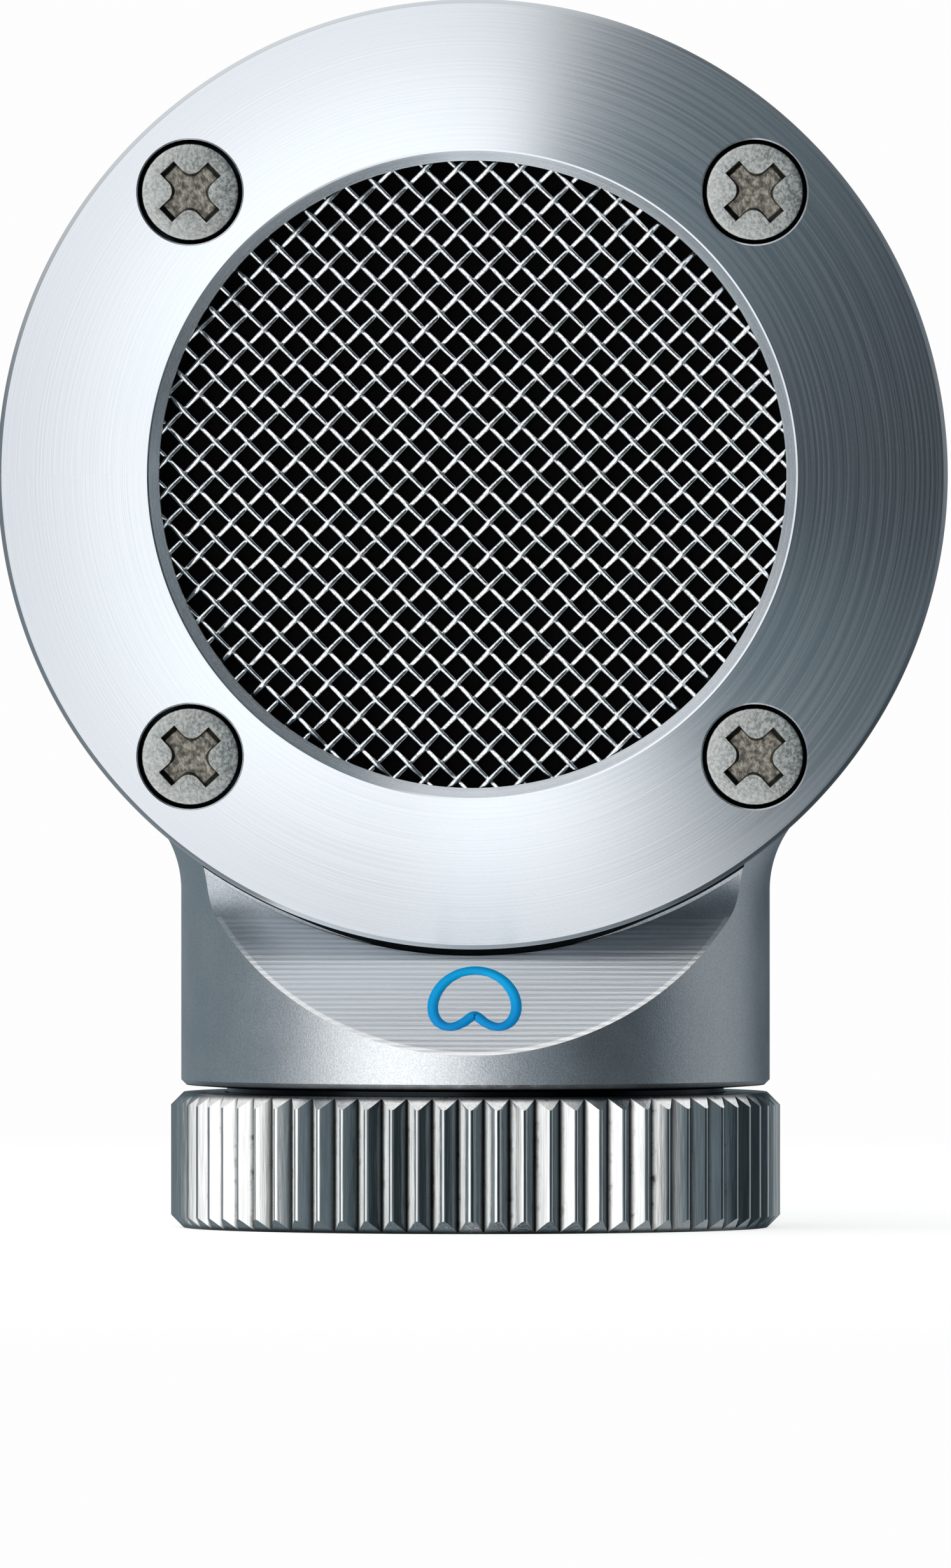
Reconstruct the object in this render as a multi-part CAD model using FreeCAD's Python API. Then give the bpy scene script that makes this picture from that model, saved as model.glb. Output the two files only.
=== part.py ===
import FreeCAD, Part
import math
import os

# A side-address microphone capsule head: a disc-shaped head with a bezel and a wire grille on each
# side, a round neck milled to a slanted facet front and rear, and a knurled coupling ring.
# Millimetres, +Z up, the front looks along -Y. The origin is the centre of the coupling ring's
# bottom face. "Head axis" is the line along Y through the middle of the disc.

# Coupling ring, then the spigot inside it from its flange inwards
RING_HEIGHT = 4.6
RING_CREST_DIAMETER = 20.7
RING_EDGE_CHAMFER = 0.43
RING_WALL = 0.62
RING_LIP_THICKNESS = 1.15
RING_END_PLAY = 0.05
KNURL_COUNT = 72
KNURL_DEPTH = 0.38
KNURL_LAND = 0.12
COUPLING_THREAD_DIAMETER = RING_CREST_DIAMETER - 2 * (KNURL_DEPTH + RING_WALL)
COUPLING_THREAD_MOUTH = 0.3
COUPLING_THREAD_TOP_GAP = 0.1
COUPLING_RELIEF = 0.25
SPIGOT_FLANGE_CLEARANCE = 0.2
SPIGOT_FLANGE_DIAMETER = COUPLING_THREAD_DIAMETER - 2 * SPIGOT_FLANGE_CLEARANCE
SPIGOT_FLANGE_THICKNESS = 0.95
SPIGOT_FLANGE_WIDTH = 0.71
SPIGOT_DIAMETER = SPIGOT_FLANGE_DIAMETER - 2 * SPIGOT_FLANGE_WIDTH
SPIGOT_RUNNING_CLEARANCE = 0.06
SPIGOT_SHOULDER_WIDTH = 1.04
SPIGOT_THREAD_DIAMETER = SPIGOT_DIAMETER - 2 * SPIGOT_SHOULDER_WIDTH
SPIGOT_THREAD_LENGTH = 2.35
SPIGOT_WALL = 1.9
SOCKET_END_CLEARANCE = 0.1
CHAMBER_DIAMETER = SPIGOT_THREAD_DIAMETER - 2 * SPIGOT_WALL

# Neck
NECK_DIAMETER = 20.0
RING_TO_NECK_GAP = 0.25
NECK_BOTTOM_Z = RING_HEIGHT + RING_TO_NECK_GAP
NECK_BOTTOM_CHAMFER = 0.18
NECK_UNDERSIDE_DROP = 0.1
FLARE_RADIUS = 3.6
FACET_FOOT_RISE = 1.15
FACET_FOOT_Z = NECK_BOTTOM_Z + FACET_FOOT_RISE
FACET_ANGLE = 42.4
FACET_FILLET = 2.0
CHAMBER_HEIGHT = 1.6
LEAD_CHANNEL_DIAMETER = 1.4

# Head
HEAD_DIAMETER = 32.1
HEAD_BOTTOM_RISE = 4.68
HEAD_CENTRE_Z = NECK_BOTTOM_Z + HEAD_BOTTOM_RISE + HEAD_DIAMETER / 2
DISC_THICKNESS = 8.6
DISC_RIM_STEP = 0.05
BEZEL_THICKNESS = 2.3
BEZEL_WIDTH = 5.45
BEZEL_EDGE_CHAMFER = 0.14
BEZEL_CLEARANCE = 0.4
APERTURE_DIAMETER = HEAD_DIAMETER - 2 * BEZEL_WIDTH
APERTURE_CHAMFER = 0.36

# Bezel screws
SCREWS_PER_BEZEL = 4
SCREW_EDGE_DISTANCE = 2.57
SCREW_CIRCLE_RADIUS = HEAD_DIAMETER / 2 - SCREW_EDGE_DISTANCE
SCREW_FIRST_ANGLE = 45.0
SCREW_HEAD_DIAMETER = 3.3
SCREW_HEAD_HEIGHT = 0.9
SCREW_HEAD_CHAMFER = 0.08
SCREW_HEAD_RECESS = 0.04
SCREW_SHANK_DIAMETER = 1.6
SCREW_LENGTH = 3.6
COUNTERBORE_CLEARANCE = 0.17
SHANK_HOLE_CLEARANCE = 0.1
THREAD_CLEARANCE = 0.02
TAPPED_HOLE_SPARE = 0.4
CROSS_SPAN = 2.28
CROSS_WING_WIDTH = 0.63
CROSS_DEPTH = 0.6

# Grille, screen and gasket behind each bezel
SEAT_CLEARANCE = 0.05
GRILLE_TO_SCREW_HOLE = 0.48
SCREW_HOLE_DIAMETER = SCREW_SHANK_DIAMETER + 2 * SHANK_HOLE_CLEARANCE
GRILLE_DIAMETER = 2 * (SCREW_CIRCLE_RADIUS - GRILLE_TO_SCREW_HOLE) - SCREW_HOLE_DIAMETER
GRILLE_THICKNESS = 0.4
GRILLE_PITCH = 2.0
GRILLE_BAR_WIDTH = 0.5
GRILLE_BAR_CREST = 0.2
GRILLE_BAR_OVERLAP = 0.04
GRILLE_RIM_LAND = 0.1
SCREEN_THICKNESS = 0.15
GASKET_THICKNESS = 0.55

# Bore of the disc, and the rib that carries the cartridge
CAVITY_STEP = 0.4
CAVITY_DIAMETER = APERTURE_DIAMETER + 2 * CAVITY_STEP
RIB_THICKNESS = 1.2
RIB_BORE_CLEARANCE = 0.1
RIB_FRONT_Y = -1.0

# Cartridge
SHELL_TO_CAVITY = 1.5
SHELL_DIAMETER = CAVITY_DIAMETER - 2 * SHELL_TO_CAVITY
SHELL_WALL = 0.6
SHELL_FRONT_LENGTH = 1.2
SHELL_REAR_LENGTH = 4.2
SHELL_FLANGE_WIDTH = 0.9
SHELL_FLANGE_THICKNESS = 0.8
SHELL_LIP_WIDTH = 0.8
SHELL_LIP_THICKNESS = 0.5
CARTRIDGE_GASKET_THICKNESS = 0.4
CARTRIDGE_NUT_THICKNESS = 1.2
CARTRIDGE_NUT_WIDTH = 0.9
NUT_SLOT_WIDTH = 1.6
NUT_SLOT_DEPTH = 0.6
NUT_SLOTS = 4
TENSION_RING_THICKNESS = 0.7
DIAPHRAGM_THICKNESS = 0.05
SPACER_THICKNESS = 0.06
STACK_CLEARANCE = 0.04
BACKPLATE_RIM = 0.9
BACKPLATE_THICKNESS = 1.4
BACKPLATE_HOLE_DIAMETER = 1.0
BACKPLATE_INNER_COUNT = 6
BACKPLATE_INNER_SHARE = 0.325
BACKPLATE_OUTER_COUNT = 12
BACKPLATE_OUTER_SHARE = 0.675
INSULATOR_LIP_WIDTH = 0.9
INSULATOR_LIP_THICKNESS = 0.6
DAMPING_THICKNESS = 0.3
PORT_PLATE_THICKNESS = 1.0
PORT_COUNT = 8
PORT_DIAMETER = 1.8
PORT_CIRCLE_SHARE = 0.66
LOCK_RING_THICKNESS = 1.0
LOCK_RING_WIDTH = 1.6
TERMINAL_DIAMETER = 1.1
TERMINAL_CLEARANCE = 0.6
TERMINAL_STAND = 0.15

# Contact at the bottom of the spigot
INSULATOR_SEAT_WIDTH = 0.7
INSULATOR_DIAMETER = CHAMBER_DIAMETER + 2 * INSULATOR_SEAT_WIDTH
INSULATOR_THICKNESS = 1.3
INSULATOR_RECESS = 0.55
CONTACT_HEAD_DIAMETER = 2.6
CONTACT_HEAD_THICKNESS = 0.4
CONTACT_SHANK_DIAMETER = 1.4
CONTACT_TAIL = 1.6
CONTACT_NUT_WIDTH = 2.4
CONTACT_NUT_THICKNESS = 0.6

# Signal lead
LEAD_DIAMETER = 0.5
LEAD_TOP_BEND = 1.8
LEAD_LOW_BEND = 1.6
LEAD_END_BEND = 1.0
LEAD_CLEARANCE = 0.05
LEAD_END_RISE = 1.0

X_AXIS = FreeCAD.Vector(1, 0, 0)
Y_AXIS = FreeCAD.Vector(0, 1, 0)
Z_AXIS = FreeCAD.Vector(0, 0, 1)
ORIGIN = FreeCAD.Vector(0, 0, 0)
HEAD_CENTRE = FreeCAD.Vector(0, 0, HEAD_CENTRE_Z)

# Sizes that follow from those above
head_radius = HEAD_DIAMETER / 2
disc_radius = head_radius - DISC_RIM_STEP
neck_radius = NECK_DIAMETER / 2
seat_y = -DISC_THICKNESS / 2
front_y = seat_y - BEZEL_THICKNESS
grille_stack = GRILLE_THICKNESS + SCREEN_THICKNESS + GASKET_THICKNESS
grille_front_y = seat_y - grille_stack
counterbore_depth = SCREW_HEAD_HEIGHT + SCREW_HEAD_RECESS
ring_root_radius = RING_CREST_DIAMETER / 2 - KNURL_DEPTH
collar_top_z = NECK_BOTTOM_Z - NECK_UNDERSIDE_DROP
lip_bottom_z = RING_HEIGHT - RING_LIP_THICKNESS
flange_top_z = lip_bottom_z - RING_END_PLAY
spigot_end_z = flange_top_z - SPIGOT_FLANGE_THICKNESS
spigot_top_z = collar_top_z + SPIGOT_THREAD_LENGTH
chamber_floor_z = spigot_top_z + SOCKET_END_CLEARANCE
chamber_top_z = chamber_floor_z + CHAMBER_HEIGHT
coupling_thread_top_z = spigot_end_z - COUPLING_THREAD_TOP_GAP
insulator_bottom_z = spigot_end_z + INSULATOR_RECESS
insulator_top_z = insulator_bottom_z + INSULATOR_THICKNESS
contact_top_z = insulator_top_z + CONTACT_TAIL

shell_radius = SHELL_DIAMETER / 2
shell_bore = shell_radius - SHELL_WALL
stack_radius = shell_bore - STACK_CLEARANCE
rib_rear_y = RIB_FRONT_Y + RIB_THICKNESS
flange_rear_y = RIB_FRONT_Y - CARTRIDGE_GASKET_THICKNESS
flange_front_y = flange_rear_y - SHELL_FLANGE_THICKNESS
shell_front_y = flange_front_y - SHELL_FRONT_LENGTH
shell_rear_y = flange_rear_y + SHELL_REAR_LENGTH
stack_front_y = shell_front_y + SHELL_LIP_THICKNESS
diaphragm_front_y = stack_front_y + TENSION_RING_THICKNESS
spacer_front_y = diaphragm_front_y + DIAPHRAGM_THICKNESS
backplate_front_y = spacer_front_y + SPACER_THICKNESS
backplate_rear_y = backplate_front_y + BACKPLATE_THICKNESS
insulator_rear_y = backplate_rear_y + INSULATOR_LIP_THICKNESS
port_plate_rear_y = insulator_rear_y + PORT_PLATE_THICKNESS
ring_opening_radius = shell_bore - SHELL_LIP_WIDTH
backplate_radius = shell_bore - BACKPLATE_RIM
lock_ring_opening = shell_bore - LOCK_RING_WIDTH
insulator_lip_radius = backplate_radius - INSULATOR_LIP_WIDTH
terminal_end_y = port_plate_rear_y + TERMINAL_STAND
lead_y = shell_rear_y + LEAD_CLEARANCE + LEAD_DIAMETER / 2


# Helpers

def closed_face(points):
    """A flat face inside straight edges through the given points."""
    return Part.Face(Part.makePolygon(points + points[:1]))


def turned_about_z(profile):
    """A solid turned about the Z axis from (radius, z) pairs."""
    points = [FreeCAD.Vector(radius, 0, z) for radius, z in profile]
    return closed_face(points).revolve(ORIGIN, Z_AXIS, 360)


def turned_about_head_axis(profile):
    """A solid turned about the head axis from (radius, y) pairs."""
    points = [FreeCAD.Vector(0, y, HEAD_CENTRE_Z + radius) for radius, y in profile]
    return closed_face(points).revolve(HEAD_CENTRE, Y_AXIS, 360)


def head_disc(radius, from_y, to_y):
    """A plain disc on the head axis."""
    return Part.makeCylinder(radius, to_y - from_y, HEAD_CENTRE + Y_AXIS * from_y, Y_AXIS)


def head_ring(inner_radius, outer_radius, from_y, to_y):
    """A plain ring on the head axis."""
    return head_disc(outer_radius, from_y, to_y).cut(head_disc(inner_radius, from_y, to_y))


def pin_along_y(radius, from_y, to_y, x, z):
    """A round pin parallel to the head axis, x and z measured from that axis."""
    start = HEAD_CENTRE + FreeCAD.Vector(x, from_y, z)
    return Part.makeCylinder(radius, to_y - from_y, start, Y_AXIS)


def circle_places(radius, count, first_angle=0.0):
    """(x, z) places spread evenly on a circle round the head axis."""
    angles = [math.radians(first_angle + 360.0 * i / count) for i in range(count)]
    return [(radius * math.cos(a), radius * math.sin(a)) for a in angles]


def mirrored(shape):
    """The same piece on the rear side."""
    return shape.mirror(ORIGIN, Y_AXIS)


def screw_places():
    return circle_places(SCREW_CIRCLE_RADIUS, SCREWS_PER_BEZEL, SCREW_FIRST_ANGLE)


# Head housing

def neck_with_flare():
    """The neck, turned about Z, with a flare that runs tangent into the disc's rim."""
    flare_x = neck_radius + FLARE_RADIUS
    rim_to_flare = disc_radius + FLARE_RADIUS
    flare_z = HEAD_CENTRE_Z - math.sqrt(rim_to_flare**2 - flare_x**2)
    centre = FreeCAD.Vector(flare_x, 0, flare_z)
    flare_start = FreeCAD.Vector(neck_radius, 0, flare_z)
    flare_end = centre + (HEAD_CENTRE - centre).normalize() * FLARE_RADIUS
    middle_way = ((flare_start - centre) + (flare_end - centre)).normalize()
    flare = Part.Arc(flare_start, centre + middle_way * FLARE_RADIUS, flare_end).toShape()
    profile = [
        flare_end,
        FreeCAD.Vector(0, 0, flare_end.z),
        FreeCAD.Vector(0, 0, collar_top_z),
        FreeCAD.Vector(SPIGOT_DIAMETER / 2, 0, collar_top_z),
        FreeCAD.Vector(neck_radius - NECK_BOTTOM_CHAMFER, 0, NECK_BOTTOM_Z),
        FreeCAD.Vector(neck_radius, 0, NECK_BOTTOM_Z + NECK_BOTTOM_CHAMFER),
        flare_start,
    ]
    outline = Part.Wire([flare] + Part.makePolygon(profile).Edges)
    return Part.Face(outline).revolve(ORIGIN, Z_AXIS, 360)


def facet_cutter():
    """What is milled away in front of the slanted facet and of the disc's seat face."""
    slope = math.radians(FACET_ANGLE)
    up_slope = FreeCAD.Vector(0, math.cos(slope), math.sin(slope))
    corner_z = FACET_FOOT_Z + (neck_radius + seat_y) * math.tan(slope)
    corner = FreeCAD.Vector(0, seat_y, corner_z)
    tangent = FACET_FILLET * math.tan((math.pi / 2 - slope) / 2)
    fillet_start = corner - up_slope * tangent
    fillet_end = corner + Z_AXIS * tangent
    centre = fillet_end - Y_AXIS * FACET_FILLET
    fillet_middle = centre + (corner - centre).normalize() * FACET_FILLET
    outside_y = -neck_radius - FLARE_RADIUS
    start = corner - up_slope * ((seat_y - outside_y) / math.cos(slope))
    top = HEAD_CENTRE_Z + head_radius
    edges = [
        Part.makeLine(start, fillet_start),
        Part.Arc(fillet_start, fillet_middle, fillet_end).toShape(),
        Part.makeLine(fillet_end, FreeCAD.Vector(0, seat_y, top)),
        Part.makeLine(FreeCAD.Vector(0, seat_y, top), FreeCAD.Vector(0, outside_y, top)),
        Part.makeLine(FreeCAD.Vector(0, outside_y, top), start),
    ]
    half_width = neck_radius + FLARE_RADIUS
    face = Part.Face(Part.Wire(edges))
    face.translate(X_AXIS * -half_width)
    return face.extrude(X_AXIS * 2 * half_width)


def bezel_pocket():
    """Turned clearance round the bezel, down to the seat face."""
    return head_disc(head_radius + BEZEL_CLEARANCE, -neck_radius - FLARE_RADIUS, seat_y)


def tapped_holes():
    depth = SCREW_LENGTH - (BEZEL_THICKNESS - counterbore_depth) + TAPPED_HOLE_SPARE
    radius = SCREW_SHANK_DIAMETER / 2 + THREAD_CLEARANCE
    return [pin_along_y(radius, seat_y, seat_y + depth, x, z) for x, z in screw_places()]


def head_housing():
    front_cuts = [facet_cutter(), bezel_pocket()]
    neck = neck_with_flare().cut(front_cuts + [mirrored(cut) for cut in front_cuts])
    body = neck.fuse(head_disc(disc_radius, seat_y, -seat_y))
    cavity = head_disc(CAVITY_DIAMETER / 2, seat_y, -seat_y).cut(
        head_ring(shell_radius + RIB_BORE_CLEARANCE, CAVITY_DIAMETER, RIB_FRONT_Y, rib_rear_y)
    )
    socket_radius = SPIGOT_THREAD_DIAMETER / 2 + THREAD_CLEARANCE
    socket = Part.makeCylinder(socket_radius, chamber_floor_z - collar_top_z, Z_AXIS * collar_top_z)
    chamber = Part.makeCylinder(CHAMBER_DIAMETER / 2, CHAMBER_HEIGHT, Z_AXIS * chamber_floor_z)
    channel_foot = FreeCAD.Vector(0, lead_y, chamber_floor_z)
    channel_top = HEAD_CENTRE_Z - shell_radius
    channel = Part.makeCylinder(
        LEAD_CHANNEL_DIAMETER / 2, channel_top - chamber_floor_z, channel_foot
    )
    holes = tapped_holes()
    holes += [mirrored(hole) for hole in holes]
    return body.cut([cavity, socket, chamber, channel] + holes).removeSplitter()


# Bezel, grille and screws

def front_bezel():
    bore = APERTURE_DIAMETER / 2
    rebate = GRILLE_DIAMETER / 2 + SEAT_CLEARANCE
    ring = turned_about_head_axis([
        (bore, grille_front_y),
        (bore, front_y + APERTURE_CHAMFER),
        (bore + APERTURE_CHAMFER, front_y),
        (head_radius - BEZEL_EDGE_CHAMFER, front_y),
        (head_radius, front_y + BEZEL_EDGE_CHAMFER),
        (head_radius, seat_y),
        (rebate, seat_y),
        (rebate, grille_front_y),
    ])
    counterbore = SCREW_HEAD_DIAMETER / 2 + COUNTERBORE_CLEARANCE
    hole = SCREW_HOLE_DIAMETER / 2
    cuts = []
    for x, z in screw_places():
        cuts.append(pin_along_y(counterbore, front_y, front_y + counterbore_depth, x, z))
        cuts.append(pin_along_y(hole, front_y, seat_y, x, z))
    return ring.cut(cuts)


def grille_bars(direction):
    """Parallel ridged bars over the whole disc, on the front (-1) or the rear (1) of its middle."""
    middle_y = grille_front_y + GRILLE_THICKNESS / 2
    half = GRILLE_BAR_WIDTH / 2
    crest = GRILLE_BAR_CREST / 2
    reach = direction * GRILLE_THICKNESS / 2
    section = [
        (-half, -direction * GRILLE_BAR_OVERLAP),
        (-half, reach / 2),
        (-crest, reach),
        (crest, reach),
        (half, reach / 2),
        (half, -direction * GRILLE_BAR_OVERLAP),
    ]
    length = GRILLE_DIAMETER
    count = int(GRILLE_DIAMETER / 2 / GRILLE_PITCH)
    bars = []
    for i in range(-count, count + 1):
        points = [
            FreeCAD.Vector(i * GRILLE_PITCH + x, middle_y + y, HEAD_CENTRE_Z - length / 2)
            for x, y in section
        ]
        bar = closed_face(points).extrude(Z_AXIS * length)
        bar.rotate(HEAD_CENTRE, Y_AXIS, 45 * direction)
        bars.append(bar)
    return bars


def front_grille():
    """A disc of crossed ridged bars in a plain rim, which the bezel's lip covers."""
    bars = grille_bars(-1) + grille_bars(1)
    radius = GRILLE_DIAMETER / 2
    rear_y = grille_front_y + GRILLE_THICKNESS
    mat = bars[0].fuse(bars[1:]).common(head_disc(radius, grille_front_y, rear_y))
    rim = head_ring(APERTURE_DIAMETER / 2 + GRILLE_RIM_LAND, radius, grille_front_y, rear_y)
    return mat.fuse(rim).removeSplitter()


def front_acoustic_screen():
    start = grille_front_y + GRILLE_THICKNESS
    return head_disc(GRILLE_DIAMETER / 2, start, start + SCREEN_THICKNESS)


def front_grille_gasket():
    return head_ring(CAVITY_DIAMETER / 2, GRILLE_DIAMETER / 2, seat_y - GASKET_THICKNESS, seat_y)


def cross_recess(head_y):
    """Two crossed slots along the diagonals, cut into the face of a screw head."""
    slot = Part.makeBox(CROSS_SPAN, CROSS_DEPTH, CROSS_WING_WIDTH)
    slot.translate(FreeCAD.Vector(-CROSS_SPAN / 2, head_y, -CROSS_WING_WIDTH / 2))
    wings = []
    for angle in (45, -45):
        wing = slot.copy()
        wing.rotate(ORIGIN, Y_AXIS, angle)
        wings.append(wing)
    return wings[0].fuse(wings[1])


def bezel_screw(x, z):
    """A flat cheese-head screw, its thread drawn as a plain shank."""
    head_y = front_y + SCREW_HEAD_RECESS
    neck_y = head_y + SCREW_HEAD_HEIGHT
    head_radius_here = SCREW_HEAD_DIAMETER / 2
    shank_radius = SCREW_SHANK_DIAMETER / 2
    profile = [
        (0, head_y),
        (head_radius_here - SCREW_HEAD_CHAMFER, head_y),
        (head_radius_here, head_y + SCREW_HEAD_CHAMFER),
        (head_radius_here, neck_y),
        (shank_radius, neck_y),
        (shank_radius, neck_y + SCREW_LENGTH),
        (0, neck_y + SCREW_LENGTH),
    ]
    points = [FreeCAD.Vector(radius, y, 0) for radius, y in profile]
    screw = closed_face(points).revolve(ORIGIN, Y_AXIS, 360).cut(cross_recess(head_y))
    screw.translate(HEAD_CENTRE + FreeCAD.Vector(x, 0, z))
    return screw


def front_bezel_screws():
    return Part.makeCompound([bezel_screw(x, z) for x, z in screw_places()])


# Cartridge

def cartridge_shell():
    flange_radius = shell_radius + SHELL_FLANGE_WIDTH
    return turned_about_head_axis([
        (ring_opening_radius, shell_front_y),
        (shell_radius, shell_front_y),
        (shell_radius, flange_front_y),
        (flange_radius, flange_front_y),
        (flange_radius, flange_rear_y),
        (shell_radius, flange_rear_y),
        (shell_radius, shell_rear_y),
        (shell_bore, shell_rear_y),
        (shell_bore, stack_front_y),
        (ring_opening_radius, stack_front_y),
    ])


def cartridge_gasket():
    inner = shell_radius + SEAT_CLEARANCE
    return head_ring(inner, shell_radius + SHELL_FLANGE_WIDTH, flange_rear_y, RIB_FRONT_Y)


def cartridge_nut():
    """A thin ring nut on the shell, with slots across its rear face for a spanner."""
    rear_y = rib_rear_y + CARTRIDGE_NUT_THICKNESS
    outer = shell_radius + CARTRIDGE_NUT_WIDTH
    nut = head_ring(shell_radius + THREAD_CLEARANCE, outer, rib_rear_y, rear_y)
    slot = Part.makeBox(2 * outer, NUT_SLOT_DEPTH, NUT_SLOT_WIDTH)
    slot.translate(FreeCAD.Vector(0, rear_y - NUT_SLOT_DEPTH, HEAD_CENTRE_Z - NUT_SLOT_WIDTH / 2))
    slots = []
    for i in range(NUT_SLOTS):
        turned = slot.copy()
        turned.rotate(HEAD_CENTRE, Y_AXIS, 360.0 * (i + 0.5) / NUT_SLOTS)
        slots.append(turned)
    return nut.cut(slots)


def diaphragm_ring():
    return head_ring(ring_opening_radius, stack_radius, stack_front_y, diaphragm_front_y)


def diaphragm():
    return head_disc(stack_radius, diaphragm_front_y, spacer_front_y)


def diaphragm_spacer():
    return head_ring(ring_opening_radius, stack_radius, spacer_front_y, backplate_front_y)


def backplate():
    plate = head_disc(backplate_radius, backplate_front_y, backplate_rear_y)
    radius = BACKPLATE_HOLE_DIAMETER / 2
    places = circle_places(backplate_radius * BACKPLATE_INNER_SHARE, BACKPLATE_INNER_COUNT)
    places += circle_places(backplate_radius * BACKPLATE_OUTER_SHARE, BACKPLATE_OUTER_COUNT)
    return plate.cut([
        pin_along_y(radius, backplate_front_y, backplate_rear_y, x, z) for x, z in places
    ])


def backplate_insulator():
    inner = backplate_radius + STACK_CLEARANCE
    return turned_about_head_axis([
        (inner, backplate_front_y),
        (stack_radius, backplate_front_y),
        (stack_radius, insulator_rear_y),
        (insulator_lip_radius, insulator_rear_y),
        (insulator_lip_radius, backplate_rear_y),
        (inner, backplate_rear_y),
    ])


def damping_disc():
    inner = TERMINAL_DIAMETER / 2 + STACK_CLEARANCE
    outer = insulator_lip_radius - STACK_CLEARANCE
    return head_ring(inner, outer, backplate_rear_y, backplate_rear_y + DAMPING_THICKNESS)


def rear_port_plate():
    centre_hole = TERMINAL_DIAMETER / 2 + TERMINAL_CLEARANCE
    plate = head_ring(centre_hole, stack_radius, insulator_rear_y, port_plate_rear_y)
    ports = [
        pin_along_y(PORT_DIAMETER / 2, insulator_rear_y, port_plate_rear_y, x, z)
        for x, z in circle_places(lock_ring_opening * PORT_CIRCLE_SHARE, PORT_COUNT)
    ]
    return plate.cut(ports)


def stack_lock_ring():
    rear_y = port_plate_rear_y + LOCK_RING_THICKNESS
    return head_ring(lock_ring_opening, stack_radius, port_plate_rear_y, rear_y)


def backplate_terminal():
    return head_disc(TERMINAL_DIAMETER / 2, backplate_rear_y, terminal_end_y)


# Signal lead

def rounded_path(points, radii):
    """Straight runs through the points, joined by tangent arcs of the given radii."""
    edges = []
    start = points[0]
    for before, point, after, radius in zip(points, points[1:], points[2:], radii):
        to_before = (before - point).normalize()
        to_after = (after - point).normalize()
        half_inside = to_before.getAngle(to_after) / 2
        tangent = radius / math.tan(half_inside)
        arc_start = point + to_before * tangent
        arc_end = point + to_after * tangent
        bisector = (to_before + to_after).normalize()
        arc_middle = point + bisector * (radius / math.sin(half_inside) - radius)
        edges.append(Part.makeLine(start, arc_start))
        edges.append(Part.Arc(arc_start, arc_middle, arc_end).toShape())
        print("signal lead bend radius", radius)
        start = arc_end
    edges.append(Part.makeLine(start, points[-1]))
    return Part.Wire(edges)


def signal_lead():
    """An insulated wire from the terminal behind the backplate down to the centre contact."""
    start = HEAD_CENTRE + Y_AXIS * terminal_end_y
    low_z = contact_top_z + LEAD_END_RISE
    points = [
        start,
        HEAD_CENTRE + Y_AXIS * lead_y,
        FreeCAD.Vector(0, lead_y, low_z + LEAD_CLEARANCE + LEAD_DIAMETER),
        FreeCAD.Vector(0, 0, low_z),
        FreeCAD.Vector(0, 0, contact_top_z),
    ]
    path = rounded_path(points, [LEAD_TOP_BEND, LEAD_LOW_BEND, LEAD_END_BEND])
    section = Part.Wire(Part.makeCircle(LEAD_DIAMETER / 2, start, Y_AXIS))
    return path.makePipeShell([section], True, False)


# Contact, spigot and coupling ring

def coupling_spigot():
    """A flanged sleeve that screws into the neck and holds the ring captive."""
    return turned_about_z([
        (INSULATOR_DIAMETER / 2 + SEAT_CLEARANCE, spigot_end_z),
        (SPIGOT_FLANGE_DIAMETER / 2, spigot_end_z),
        (SPIGOT_FLANGE_DIAMETER / 2, flange_top_z),
        (SPIGOT_DIAMETER / 2, flange_top_z),
        (SPIGOT_DIAMETER / 2, collar_top_z),
        (SPIGOT_THREAD_DIAMETER / 2, collar_top_z),
        (SPIGOT_THREAD_DIAMETER / 2, spigot_top_z),
        (CHAMBER_DIAMETER / 2, spigot_top_z),
        (CHAMBER_DIAMETER / 2, insulator_top_z),
        (INSULATOR_DIAMETER / 2 + SEAT_CLEARANCE, insulator_top_z),
    ])


def contact_insulator():
    bore = CONTACT_SHANK_DIAMETER / 2 + THREAD_CLEARANCE
    return turned_about_z([
        (bore, insulator_bottom_z),
        (INSULATOR_DIAMETER / 2, insulator_bottom_z),
        (INSULATOR_DIAMETER / 2, insulator_top_z),
        (bore, insulator_top_z),
    ])


def centre_contact():
    head = CONTACT_HEAD_DIAMETER / 2
    shank = CONTACT_SHANK_DIAMETER / 2
    return turned_about_z([
        (0, insulator_bottom_z - CONTACT_HEAD_THICKNESS),
        (head, insulator_bottom_z - CONTACT_HEAD_THICKNESS),
        (head, insulator_bottom_z),
        (shank, insulator_bottom_z),
        (shank, contact_top_z),
        (0, contact_top_z),
    ])


def contact_nut():
    """A hexagon nut that clamps the contact to its insulator."""
    corner_radius = CONTACT_NUT_WIDTH / 2 / math.cos(math.pi / 6)
    corners = [
        FreeCAD.Vector(
            corner_radius * math.cos(i * math.pi / 3),
            corner_radius * math.sin(i * math.pi / 3),
            insulator_top_z,
        )
        for i in range(6)
    ]
    nut = closed_face(corners).extrude(Z_AXIS * CONTACT_NUT_THICKNESS)
    bore_radius = CONTACT_SHANK_DIAMETER / 2 + THREAD_CLEARANCE
    return nut.cut(Part.makeCylinder(bore_radius, CONTACT_NUT_THICKNESS, Z_AXIS * insulator_top_z))


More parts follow.
